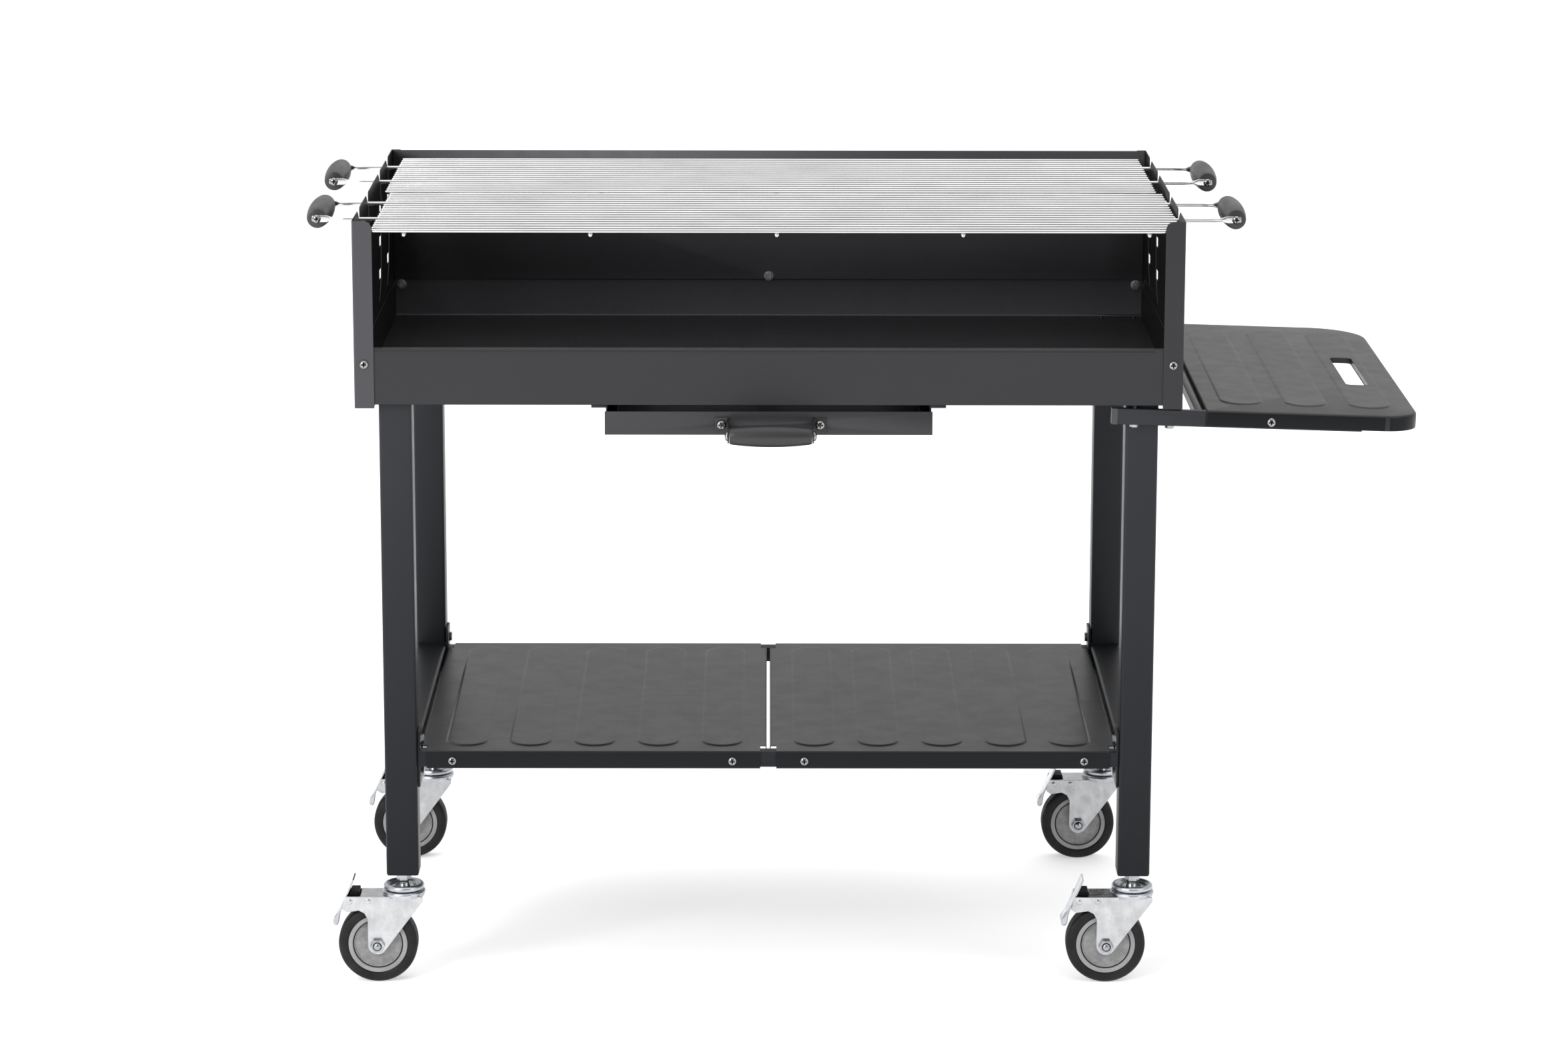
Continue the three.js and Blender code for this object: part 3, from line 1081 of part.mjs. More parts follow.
// The fork turns under the upper race. Two cross pins hold its plates apart, and the pedal swings on
// the rear one.
function castorFork(name, castor) {
  const half = FORK_WIDTH / 2;
  const lowerRace = [
    [0, FORK_TOP - RACE_DEPTH],
    [RACE_RADIUS, FORK_TOP - RACE_DEPTH],
    [RACE_RADIUS + RACE_BULGE, RACE_WIDEST],
    [RACE_RADIUS - RACE_BULGE, RACE_LOWER_TOP],
    [0, RACE_LOWER_TOP],
  ];
  const parts = [
    turned(lowerRace, [0, 0, 0], [0, 0, 1], RACE_SEGMENTS),
    slab([BRIDGE_START, 0], [-half, half], [FORK_TOP - FORK_SHEET, FORK_TOP]),
  ];
  for (const [, side] of sides) {
    const [near, far] = bothWays(side, forkInner, half);
    parts.push(prism('y', forkPlateOutline(), near, far, WIDE_ARC_STEPS));
    for (const { x, z } of [PEDAL_PIVOT, FORK_RIVET]) {
      const [start, end] = [side * (half - 1), side * (half + RIVET_HEAD_HEIGHT)];
      parts.push(bar([x, start, z], [x, end, z], RIVET_HEAD_RADIUS, 6));
    }
  }
  for (const { x, z } of [PEDAL_PIVOT, FORK_RIVET]) {
    parts.push(bar([x, -half, z], [x, half, z], PIN_RADIUS, 8));
  }
  const { x, z } = axlePlace;
  const hole = shaftHole([x, -half - 1, z], [x, half + 1, z], AXLE_RADIUS + GAP);
  piece(name, cut(join(...parts), hole), material.zinc, castor);
}

function castorAxle(name, castor) {
  const { x, z } = axlePlace;
  const plateFace = FORK_WIDTH / 2 + GAP;
  const end = plateFace + AXLE_NUT_HEIGHT + AXLE_END;
  const parts = [bar([x, -end, z], [x, end, z], AXLE_RADIUS, SHAFT_SIDES)];
  for (const [, side] of sides) {
    const [start, stop] = [side * plateFace, side * (plateFace + AXLE_NUT_HEIGHT)];
    parts.push(nut([x, start, z], [x, stop, z], AXLE_NUT_RADIUS));
  }
  piece(name, join(...parts), material.zinc, castor);
}

// The tyre's flats, not its corners, lie at the wheel's radius, and it stands on one of them.
function castorTyre(name, castor) {
  const half = WHEEL_WIDTH / 2;
  const toCorner = 1 / Math.cos(Math.PI / WHEEL_SEGMENTS);
  const bore = TYRE_BORE_RADIUS * toCorner;
  const tread = WHEEL_RADIUS * toCorner;
  const shoulder = (WHEEL_RADIUS - TYRE_SHOULDER) * toCorner;
  const profile = [
    [bore, -half],
    [shoulder, -half],
    [tread, TYRE_SHOULDER - half],
    [tread, half - TYRE_SHOULDER],
    [shoulder, half],
    [bore, half],
    [bore, -half],
  ];
  const tyre = new THREE.Group();
  tyre.position.set(axlePlace.x, 0, axlePlace.z);
  tyre.rotation.y = Math.PI / WHEEL_SEGMENTS;
  castor.add(tyre);
  piece(name, turned(profile, [0, 0, 0], [0, 1, 0], WHEEL_SEGMENTS), material.rubber, tyre);
}

function castorHub(name, castor) {
  const rim = TYRE_BORE_RADIUS - GAP;
  const bore = AXLE_RADIUS + GAP;
  const rimHalf = WHEEL_WIDTH / 2 - HUB_RIM_SETBACK;
  const discHalf = rimHalf - HUB_RECESS;
  const bossHalf = forkInner - HUB_BOSS_PLAY;
  const profile = [
    [bore, -bossHalf],
    [HUB_BOSS_RADIUS, -bossHalf],
    [HUB_BOSS_RADIUS, -discHalf],
    [rim, -rimHalf],
    [rim, rimHalf],
    [HUB_BOSS_RADIUS, discHalf],
    [HUB_BOSS_RADIUS, bossHalf],
    [bore, bossHalf],
    [bore, -bossHalf],
  ];
  const place = [axlePlace.x, 0, axlePlace.z];
  piece(name, turned(profile, place, [0, 1, 0], WHEEL_SEGMENTS), material.hub, castor);
}

// The brake pedal: a bent lever and the cam that presses on the tyre, in one.
function castorPedal(name, castor) {
  const { x, z } = PEDAL_PIVOT;
  const half = PEDAL_WIDTH / 2;
  const outline = polygon(PEDAL_OUTLINE.map(([u, v]) => [x + u, z + v]));
  const hole = clearanceHole([x, -half - 1, z], [x, half + 1, z], PIN_RADIUS + GAP);
  piece(name, cut(prism('y', outline, -half, half), hole), material.brake, castor);
}

for (const [sideName, side] of sides) {
  for (const [endName, y] of [['front', frontLegY], ['rear', rearLegY]]) {
    const castor = new THREE.Group();
    castor.position.set(side * legX, y, 0);
    cart.add(castor);
    const label = `castor_${endName}_${sideName}`;
    castorStem(`${label}_stem`, castor);
    castorFork(`${label}_fork`, castor);
    castorAxle(`${label}_axle`, castor);
    castorTyre(`${label}_tyre`, castor);
    castorHub(`${label}_hub`, castor);
    castorPedal(`${label}_brake_pedal`, castor);
  }
}

// ---------------------------------------------------------------- the finished group

// The origin is on the floor, under the middle of the whole object's footprint.
cart.updateMatrixWorld(true);
const footprint = new THREE.Box3().setFromObject(cart, true).getCenter(new THREE.Vector3());
cart.position.set(-footprint.x, -footprint.y, 0);

const grill = new THREE.Group();
grill.add(cart);

export default grill;
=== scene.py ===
# A charcoal grill cart: the detailed pieces, materials, floor, light and camera that dress the
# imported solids. Shapes are drawn in millimetres in the cart's own frame (x from the middle of the
# legs, y from the front of the firebox, z from the floor) and end in the frame's metres.
import math

import bmesh
import bpy
from mathutils import Matrix, Vector


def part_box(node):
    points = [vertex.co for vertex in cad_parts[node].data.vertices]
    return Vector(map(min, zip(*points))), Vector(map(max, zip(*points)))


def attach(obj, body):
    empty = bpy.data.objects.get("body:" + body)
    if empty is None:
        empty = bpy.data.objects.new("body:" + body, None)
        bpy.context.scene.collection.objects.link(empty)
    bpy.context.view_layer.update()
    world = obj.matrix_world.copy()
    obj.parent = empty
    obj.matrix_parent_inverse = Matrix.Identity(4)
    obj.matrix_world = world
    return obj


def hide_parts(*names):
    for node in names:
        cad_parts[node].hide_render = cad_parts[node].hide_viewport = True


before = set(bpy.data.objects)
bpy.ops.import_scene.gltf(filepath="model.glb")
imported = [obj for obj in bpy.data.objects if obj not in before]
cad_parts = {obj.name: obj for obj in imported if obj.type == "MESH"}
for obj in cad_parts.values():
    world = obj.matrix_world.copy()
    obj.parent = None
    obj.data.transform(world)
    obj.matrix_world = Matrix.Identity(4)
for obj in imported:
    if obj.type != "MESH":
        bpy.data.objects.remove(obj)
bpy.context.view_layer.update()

leg_boxes = [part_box("leg_front_left"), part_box("leg_front_right")]
ORIGIN = Vector(((leg_boxes[0][0].x + leg_boxes[1][1].x) / 2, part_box("side_panel_left")[0].y, 0))
TO_FRAME = Matrix.Translation(ORIGIN) @ Matrix.Scale(0.001, 4)

SIDES = (("left", -1), ("right", 1))
ENDS = (("front", 32.25), ("rear", 575.75))
LEG_X = 459
X, Y, Z = Vector((1, 0, 0)), Vector((0, 1, 0)), Vector((0, 0, 1))


# ---------------- materials


class Nodes:
    """A node tree."""

    def __init__(self, owner):
        owner.use_nodes = True
        self.tree = owner.node_tree

    def link(self, source, target):
        self.tree.links.new(source, target)

    def node(self, kind, **values):
        """A new node. Its inputs' names are written with an underscore for each space."""
        node = self.tree.nodes.new("ShaderNode" + kind)
        for name, value in values.items():
            node.inputs[name.replace("_", " ")].default_value = value
        return node

    def ramp(self, value, stops):
        """Colours by value. A stop is (value, colour)."""
        node = self.node("ValToRGB")
        elements = node.color_ramp.elements
        while len(elements) < len(stops):
            elements.new(0.5)
        for element, (place, color) in zip(elements, stops):
            element.position = place
            element.color = (*color, 1)
        self.link(value, node.inputs["Fac"])
        return node.outputs["Color"]


class Finish(Nodes):
    """A procedural material, and the few kinds of node that it is built from."""

    def __init__(self, name, roughness, metallic=0.0):
        self.material = bpy.data.materials.new(name)
        super().__init__(self.material)
        self.shader = self.tree.nodes["Principled BSDF"]
        self.shader.inputs["Metallic"].default_value = metallic
        self.shader.inputs["Roughness"].default_value = roughness
        self.height = None

    def position(self, stretch=(1, 1, 1)):
        coordinates = self.node("TexCoord")
        mapping = self.node("Mapping", Scale=stretch)
        self.link(coordinates.outputs["Object"], mapping.inputs["Vector"])
        return mapping.outputs["Vector"]

    def noise(self, scale, detail=3.0, stretch=(1, 1, 1), roughness=0.5):
        node = self.node("TexNoise", Scale=scale, Detail=detail, Roughness=roughness)
        self.link(self.position(stretch), node.inputs["Vector"])
        return node.outputs["Fac"]

    def cells(self, scale):
        node = self.node("TexVoronoi", Scale=scale)
        self.link(self.position(), node.inputs["Vector"])
        return node.outputs["Distance"]

    def height_share(self, low, high):
        """From 0 at a low height to 1 at a high one, in metres above the floor."""
        node = self.node("SeparateXYZ")
        self.link(self.position(), node.inputs["Vector"])
        return self.span(node.outputs["Z"], 0, 1, low, high)

    def span(self, value, low, high, start=0.3, end=0.7):
        """Runs from low to high while the value runs from start to end."""
        node = self.node("MapRange", From_Min=start, From_Max=end, To_Min=low, To_Max=high)
        self.link(value, node.inputs["Value"])
        return node.outputs["Result"]

    def mix(self, share, first, second):
        """Mixes two colours. The node's sockets for colours are inputs 6 and 7 and output 2."""
        node = self.node("Mix")
        node.data_type = "RGBA"
        for value, number in ((share, 0), (first, 6), (second, 7)):
            target = node.inputs[number]
            if isinstance(value, bpy.types.NodeSocket):
                self.link(value, target)
            elif isinstance(value, tuple):
                target.default_value = (*value, 1)
            else:
                target.default_value = value
        return node.outputs[2]

    def color(self, source):
        self.link(source, self.shader.inputs["Base Color"])

    def roughness(self, source):
        self.link(source, self.shader.inputs["Roughness"])

    def specular(self, level):
        self.shader.inputs["Specular IOR Level"].default_value = level

    def bump(self, value, distance):
        """Adds a bump of a depth in metres on top of those before it."""
        node = self.node("Bump", Distance=distance)
        self.link(value, node.inputs["Height"])
        if self.height is not None:
            self.link(self.height, node.inputs["Normal"])
        self.height = node.outputs["Normal"]
        self.link(self.height, self.shader.inputs["Normal"])


# Tints of a coat's own shade and of its gloss
NEUTRAL = (1.0, 1.0, 1.0)
COOL = (0.96, 0.99, 1.05)
VIOLET = (0.99, 0.97, 1.06)
BLUE_GLOSS = (0.84, 0.9, 1.0)
VIOLET_GLOSS = (0.97, 0.94, 1.0)

# Depths of surface grain, in metres
FINE_PEEL = 0.00005
COARSE_PEEL = 0.00007
FLAT_WAVINESS = 0.0001


def grey(value, tint=NEUTRAL):
    return tuple(value * share for share in tint)


def powder_coat(name, shade, roughness=0.42, specular=0.4, peel=0.00006, tint=COOL,
                gloss_tint=NEUTRAL, painted_height_shade=None):
    """Satin powder coat: orange peel, a few duller patches and a fine dust of lighter specks.

    A coat with a painted height shade has its shade change with height to another one, which paints
    light and shade: (low height, its shade, high height).
    """
    finish = Finish(name, roughness)
    broad = finish.noise(6, 4)
    base = finish.ramp(broad, ((0.3, grey(shade * 0.94, tint)), (0.7, grey(shade * 1.06, tint))))
    if painted_height_shade:
        # Painted light and shade: the coat's shade goes with height
        low, low_shade, high = painted_height_shade
        base = finish.mix(finish.height_share(low, high), grey(low_shade, tint), base)
    finish.shader.inputs["Specular Tint"].default_value = (*gloss_tint, 1)
    specks = finish.span(finish.noise(2600, 1), 0.0, 0.12, 0.62, 0.78)
    finish.color(finish.mix(specks, base, grey(min(shade * 3.2, 0.8), tint)))
    finish.roughness(finish.span(finish.noise(38, 4), roughness - 0.02, roughness + 0.03))
    finish.bump(finish.noise(750, 2), peel)
    finish.specular(specular)
    return finish.material


def violet_coat(name, shade, specular, roughness=0.42, painted_height_shade=None):
    """The powder coat of the firebox and the drawer, which leans to violet."""
    return powder_coat(name, shade, roughness, specular, FINE_PEEL, VIOLET, VIOLET_GLOSS, painted_height_shade)


def drawn_wire(name):
    """Polished wire: fine lines along it and across it, and faint clouding."""
    finish = Finish(name, 0.16, 1.0)
    broad = finish.noise(14, 3)
    finish.color(finish.ramp(broad, ((0.3, (0.56, 0.56, 0.56)), (0.7, (0.65, 0.65, 0.65)))))
    finish.roughness(finish.span(finish.noise(60, 3, (0.05, 8, 8)), 0.13, 0.21))
    finish.bump(finish.noise(900, 2, (0.04, 1, 1)), 0.000012)
    return finish.material


def zinc_plate(name, shade=0.74, roughness=0.27, waviness=0.0011, tint=COOL):
    """Bright zinc plate on steel: cloudy grain, drawing lines, small stains and a faint waviness."""
    finish = Finish(name, roughness, 1.0)
    cloud = finish.noise(55, 5)
    base = finish.ramp(cloud, ((0.3, grey(shade * 0.82, tint)), (0.72, grey(shade * 1.14, tint))))
    stain = finish.span(finish.noise(240, 4), 0.0, 0.35, 0.58, 0.8)
    finish.color(finish.mix(stain, base, grey(shade * 0.5)))
    lines = finish.noise(170, 5, (1, 1, 0.3))
    finish.roughness(finish.span(lines, roughness - 0.09, roughness + 0.13))
    finish.bump(finish.noise(34, 2, (1, 1, 0.12)), waviness)
    finish.bump(finish.noise(420, 3), 0.00003)
    return finish.material


def moulded(name, shade, roughness, streaks=(1, 1, 1), tint=COOL):
    """Moulded plastic with a fine spark-eroded grain and long faint streaks."""
    finish = Finish(name, roughness)
    streaked = finish.noise(26, 4, streaks)
    base = finish.ramp(streaked, ((0.3, grey(shade * 0.85, tint)), (0.7, grey(shade * 1.18, tint))))
    specks = finish.span(finish.noise(1700, 1), 0.0, 0.12, 0.6, 0.8)
    finish.color(finish.mix(specks, base, grey(shade * 2.2, tint)))
    finish.roughness(finish.span(finish.noise(90, 3, streaks), roughness - 0.06, roughness + 0.08))
    finish.bump(finish.noise(1300, 2), FINE_PEEL)
    return finish.material


def rubber(name):
    """Black rubber, greyed with dust on its tread."""
    finish = Finish(name, 0.62)
    dust = finish.span(finish.noise(45, 5), 0.0, 0.5, 0.45, 0.8)
    finish.color(finish.mix(dust, grey(0.005, (0.97, 0.98, 1.05)), grey(0.022, (1.0, 0.98, 0.95))))
    finish.specular(0.3)
    finish.roughness(finish.span(finish.noise(70, 4), 0.52, 0.74))
    finish.bump(finish.noise(900, 3), FINE_PEEL)
    return finish.material


def mottled(name, dark, light):
    """Moulded wheel centre with a marbled grain."""
    finish = Finish(name, 0.5)
    grain = finish.noise(95, 6, roughness=0.7)
    middle = (dark + light) / 2
    base = finish.ramp(grain, ((0.36, grey(dark)), (0.52, grey(middle)), (0.68, grey(light))))
    spots = finish.span(finish.cells(330), 0.0, 0.5, 0.0, 0.22)
    finish.color(finish.mix(spots, grey(dark * 0.6), base))
    finish.roughness(finish.span(finish.noise(120, 3), 0.42, 0.62))
    finish.bump(finish.noise(500, 3), 0.00006)
    return finish.material


def pale_floor(name):
    """A pale studio floor that glows a little, so that shadows on it stay faint."""
    finish = Finish(name, 0.75)
    finish.color(finish.ramp(finish.noise(2.2, 3), ((0.3, grey(0.93)), (0.7, grey(0.95)))))
    finish.roughness(finish.span(finish.noise(9, 2), 0.7, 0.8))
    finish.shader.inputs["Emission Color"].default_value = (1, 1, 1, 1)
    finish.shader.inputs["Emission Strength"].default_value = 0.42
    return finish.material


# The legs' coat darkens towards the floor, a painted shade, and the inner walls' coat lightens towards
# the charcoal, a painted reflection from the tray's floor
FRAME_COAT = powder_coat("frame_coat", 0.02, specular=0.235, gloss_tint=BLUE_GLOSS,
                         painted_height_shade=(0.14, 0.004, 0.745))
FIREBOX_COAT = violet_coat("firebox_coat", 0.013, 0.4)
LIT_FLANGE_COAT = violet_coat("flange_lit_coat", 0.029, 0.6, 0.4)
LIT_INNER_COAT = violet_coat("firebox_inner_lit_coat", 0.026, 0.5, 0.4, painted_height_shade=(0.748, 0.06, 0.81))
SHADED_FLOOR_COAT = violet_coat("firebox_floor_shade_coat", 0.012, 0.34)
INSIDE_SHADE_COAT = powder_coat("inside_shade_coat", 0.005, 0.46, 0.2, FINE_PEEL)
DRAWER_COAT = violet_coat("drawer_coat", 0.019, 0.45)
SHADED_EDGE_COAT = powder_coat("shelf_edge_shade_coat", 0.006, 0.4, 0.17, gloss_tint=BLUE_GLOSS)
DARK_COAT = powder_coat("bracket_coat", 0.012, 0.45)
SHELF_COAT = powder_coat("shelf_coat", 0.018, 0.34, 0.255, COARSE_PEEL)
WIRE = drawn_wire("grid_wire")
ZINC = zinc_plate("zinc_plate", 0.5, tint=(0.985, 1.0, 1.01))
RACE_STEEL = zinc_plate("race_steel", 0.5, 0.3)
BRAKE_STEEL = zinc_plate("brake_steel", 0.46, 0.18, 0.0006)
SCREW_STEEL = zinc_plate("screw_steel", 0.3, 0.16, FLAT_WAVINESS, (1.03, 1.0, 0.98))
# Black for the parts that are black, and as painted shade in the screws' recesses, the hubs' grooves,
# round the axle nuts and under the tray
BLACK_AND_SHADE = powder_coat("black_parts_and_shade", 0.003, 0.5, 0.1)
# The recess's black is painted shade in the cross recess
SCREW = (SCREW_STEEL, BLACK_AND_SHADE)  # the head, and the recess in it
LIT_NUT_STEEL = zinc_plate("lit_nut_steel", 0.6, 0.4, FLAT_WAVINESS)
BOLT_STEEL = zinc_plate("bolt_steel", 0.38, 0.3, FLAT_WAVINESS)
AXLE_STEEL = zinc_plate("axle_steel", 0.4, 0.16, FLAT_WAVINESS)
GRIP = moulded("grip_moulding", 0.016, 0.42, (0.2, 1, 1))
GRID_GRIP = moulded("grid_grip_moulding", 0.022, 0.4, (1, 0.2, 1))
ARM_END_SHADE = moulded("arm_end_shade_moulding", 0.035, 0.5)
HUB_RING = moulded("hub_ring_moulding", 0.25, 0.34, tint=(0.99, 0.99, 1.02))
HUB_DISC = mottled("hub_disc_moulding", 0.2, 0.44)
TYRE = rubber("tyre_rubber")
FLOOR = pale_floor("pale_floor")


# ---------------- mesh helpers


def quad_strip(bm, rings):
    """Faces between neighbouring rings of vertices. A ring may be one vertex, repeated."""
    for lower, upper in zip(rings, rings[1:]):
        for i in range(len(lower)):
            j = (i + 1) % len(lower)
            corners = []
            for vertex in (lower[i], lower[j], upper[j], upper[i]):
                if vertex not in corners:
                    corners.append(vertex)
            if len(corners) > 2:
                bm.faces.new(corners)


def loop(bm, points):
    return [bm.verts.new(point) for point in points]


def close_ends(bm, rings):
    bm.faces.new(rings[0])
    bm.faces.new(rings[-1])


def fill_between(bm, outer, inner):
    """Fills the flat area between a loop of vertices and another loop inside it."""
    edges = []
    for points in (outer, inner):
        for first, second in zip(points, points[1:] + points[:1]):
            edges.append(bm.edges.get((first, second)) or bm.edges.new((first, second)))
    bmesh.ops.triangle_fill(bm, use_beauty=True, use_dissolve=False, edges=edges)


def basis(axis):
    """Two directions across an axis, so that with it they make a right-handed frame."""
    axis = Vector(axis).normalized()
    across = Z.cross(axis) if abs(axis.z) < 0.9 else X.copy()
    across = (across - axis * across.dot(axis)).normalized()
    return across, axis.cross(across), axis


def lathe(bm, profile, centre, axis, segments):
    """A turned body. The profile's points are (radius, distance along the axis)."""
    across, up, along = basis(axis)
    centre = Vector(centre)
    rings = []
    for radius, distance in profile:
        place = centre + along * distance
        if radius < 1e-6:
            rings.append([bm.verts.new(place)] * segments)
            continue
        ring = []
        for i in range(segments):
            angle = 2 * math.pi * i / segments
            ring.append(place + (across * math.cos(angle) + up * math.sin(angle)) * radius)
        rings.append(loop(bm, ring))
    quad_strip(bm, rings)


def rounded_end(radius, distance, outward):
    """Profile points of a half-round end whose tip is at a distance along the axis."""
    points = []
    for i in range(5):
        angle = math.pi / 8 * i
        points.append((radius * math.cos(angle), distance - outward * radius * (1 - math.sin(angle))))
    return points


def rod(bm, start, end, radius, segments=14):
    """A round rod with domed ends."""
    start, end = Vector(start), Vector(end)
    length = (end - start).length
    profile = list(reversed(rounded_end(radius, 0, -1))) + rounded_end(radius, length, 1)
    lathe(bm, profile, start, end - start, segments)


def extrude(bm, outline, axis, low, high):
    """A prism along an axis. Along x the outline is (y, z), along y (x, z), along z (x, y)."""
    def at(point, along):
        u, v = point
        return {"x": (along, u, v), "y": (u, along, v), "z": (u, v, along)}[axis]

    rings = [loop(bm, [at(point, along) for point in outline]) for along in (low, high)]
    quad_strip(bm, rings)
    close_ends(bm, rings)


def box(bm, x, y, z):
    extrude(bm, [(x[0], y[0]), (x[1], y[0]), (x[1], y[1]), (x[0], y[1])], "z", z[0], z[1])


def round_corners(points, radii, steps=5):
    """An outline whose corners are rounded, each with its own radius."""
    result = []
    count = len(points)
    if not isinstance(radii, (list, tuple)):
        radii = [radii] * count
    for i, point in enumerate(points):
        corner, radius = Vector(point), radii[i]
        if radius <= 0:
            result.append(tuple(corner))
            continue
        before = (Vector(points[i - 1]) - corner).normalized()
        after = (Vector(points[(i + 1) % count]) - corner).normalized()
        half = before.angle(after) / 2
        reach = radius / math.tan(half)
        centre = corner + (before + after).normalized() * radius / math.sin(half)
        start = corner + before * reach - centre
        end = corner + after * reach - centre
        turn = start.angle_signed(end)
        for step in range(steps + 1):
            angle = -turn * step / steps
            c, s = math.cos(angle), math.sin(angle)
            result.append((centre.x + start.x * c - start.y * s, centre.y + start.x * s + start.y * c))
    return result


def sheet_section(path, thickness, radius, side):
    """The outline of a folded sheet: a path with round bends, and the same path offset to one side."""
    rounded = [Vector(path[0])]
    for before, corner, after in zip(path, path[1:], path[2:]):
        triangle = round_corners([before, corner, after], [0, radius, 0])
        rounded += [Vector(p) for p in triangle[1:-1]]
    rounded.append(Vector(path[-1]))
    inner = []
    for i, point in enumerate(rounded):
        ahead = rounded[min(i + 1, len(rounded) - 1)]
        behind = rounded[max(i - 1, 0)]
        forward = (ahead - behind).normalized()
        turn = 1.0
        if 0 < i < len(rounded) - 1:
            turn = max((ahead - point).normalized().dot(forward), 0.5)
        inner.append(point + Vector((-forward.y, forward.x)) * side * thickness / turn)
    return [tuple(p) for p in rounded] + [tuple(p) for p in reversed(inner)]


def rectangle(u, v, radius, steps):
    corners = [(u[0], v[0]), (u[1], v[0]), (u[1], v[1]), (u[0], v[1])]
    return round_corners(corners, radius, steps)


def both_ways(side, near, far):
    """A span on the right, or its mirror image on the left, low end first."""
    return (near, far) if side > 0 else (-far, -near)


def add_object(name, data):
    item = bpy.data.objects.new(name, data)
    bpy.context.scene.collection.objects.link(item)
    return item


def mesh_piece(name, bm, material, body, stands_for=(), turn=None, sharp=38, bevel=0.0):
    """Ends a piece: smooths it, gives it its finish and makes it ride on its body.

    Folds sharper than the angle stay sharp, unless they are eased by a bevel's width in millimetres.
    """
    bmesh.ops.remove_doubles(bm, verts=bm.verts, dist=1e-5)
    bmesh.ops.recalc_face_normals(bm, faces=bm.faces)
    for face in bm.faces:
        face.smooth = True
    for edge in bm.edges:
        soft = len(edge.link_faces) == 2 and edge.calc_face_angle(0) < math.radians(sharp)
        edge.smooth = soft or bevel > 0
    bm.transform(TO_FRAME @ turn if turn else TO_FRAME)
    mesh = bpy.data.meshes.new(name)
    bm.to_mesh(mesh)
    bm.free()
    for finish in material if isinstance(material, tuple) else (material,):
        mesh.materials.append(finish)
    piece = add_object(name, mesh)
    if bevel:
        modifier = piece.modifiers.new("eased edges", "BEVEL")
        modifier.width = bevel * 0.001
        modifier.segments = 2
        modifier.limit_method = "ANGLE"
        modifier.angle_limit = math.radians(32)
        modifier.use_clamp_overlap = False
        modifier.harden_normals = True
    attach(piece, body)
    if stands_for:
        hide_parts(*stands_for)
    return piece


def eased(node, material, body, bevel, bends=()):
    """A node's own solid, with its edges eased.

    A bend is (low corner, high corner, radius): an edge that lies wholly in its box gets its radius.
    """
    bm = bmesh.new()
    bm.from_mesh(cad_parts[node].data)
    bmesh.ops.remove_doubles(bm, verts=bm.verts, dist=2e-6)
    bmesh.ops.dissolve_limit(bm, angle_limit=math.radians(0.6), verts=bm.verts, edges=bm.edges)
    bm.transform(TO_FRAME.inverted())
    for low, high, radius in bends:
        folds = [edge for edge in bm.edges
                 if all(low[i] <= vertex.co[i] <= high[i] for vertex in edge.verts for i in range(3))]
        bmesh.ops.bevel(bm, geom=folds, offset=radius, segments=5, profile=0.5, affect="EDGES")
    piece = mesh_piece(f"{node}_eased", bm, material, body, [node], bevel=bevel)
    if bends:
        weighting = piece.modifiers.new("flat faces stay flat", "WEIGHTED_NORMAL")
        weighting.keep_sharp = True
        weighting.weight = 100
    return piece


def second_finish(piece, material, chosen):
    """Gives another finish to the faces that a test on a face's centre and normal picks out."""
    piece.data.materials.append(material)
    to_cart = TO_FRAME.inverted()
    for face in piece.data.polygons:
        if chosen(to_cart @ face.center, face.normal):
            face.material_index = len(piece.data.materials) - 1


# ---------------- screws and nuts


RECESS_DEPTH = 2.1
RECESS_HALF_WIDTH = 0.13  # of the head's radius, like the two below
RECESS_REACH = 0.6
RECESS_TAPER = 0.75
HEAD_SHARES = (0.0, 0.08, 0.16, 0.24, 0.32, 0.4, 0.48, 0.56, 0.66, 0.78, 0.88, 0.95, 1.0, 1.0)
HEAD_SEGMENTS = 40


def cross_screw(bm, place, direction, diameter=11.2, height=3.6):
    """A pan-head screw with a cross recess, whose faces take the second material as painted shade."""
    across, up, along = basis(direction)
    place = Vector(place)
    radius = diameter / 2
    rings = []
    for i, share in enumerate(HEAD_SHARES):
        crown = height * (1 - 0.42 * share ** 2 - 0.38 * share ** 8)
        if i == len(HEAD_SHARES) - 1:
            crown = 0
        if share == 0:
            rings.append([bm.verts.new(place + along * (crown - RECESS_DEPTH))] * HEAD_SEGMENTS)
            continue
        ring = []
        for k in range(HEAD_SEGMENTS):
            angle = 2 * math.pi * k / HEAD_SEGMENTS
            u, v = share * math.cos(angle), share * math.sin(angle)
            arm = min(abs(u), abs(v))
            depth = 0.0
            if share < RECESS_REACH and arm < RECESS_HALF_WIDTH:
                depth = RECESS_DEPTH * (1 - share / RECESS_TAPER) * (1 - (arm / RECESS_HALF_WIDTH) ** 6)
            ring.append(place + (across * u + up * v) * radius + along * (crown - depth))
        rings.append(loop(bm, ring))
    first = len(bm.faces)
    quad_strip(bm, rings)
    bm.faces.ensure_lookup_table()
    for face in bm.faces[first:]:
        offset = (face.calc_center_median() - place) / radius
        u, v = abs(offset.dot(across)), abs(offset.dot(up))
        # The recess's faces take the black: painted shade
        if min(u, v) < 0.14 and max(u, v) < 0.56:
            face.material_index = 1


def hex_nut(bm, place, direction, flats=9.0, height=4.5, washer=0.0):
    """A chamfered hexagonal nut or bolt head, on a washer where it has one."""
    corner = flats / math.sqrt(3)
    base = 0.0
    if washer:
        lathe(bm, [(0, 0), (washer, 0), (washer, 0.9), (0, 0.9)], place, direction, 32)
        base = 0.9
    profile = [(0, base), (corner, base), (corner, height * 0.86), (corner * 0.87, height), (0, height)]
    lathe(bm, profile, place, direction, 6)


# ---------------- legs, rails and beams

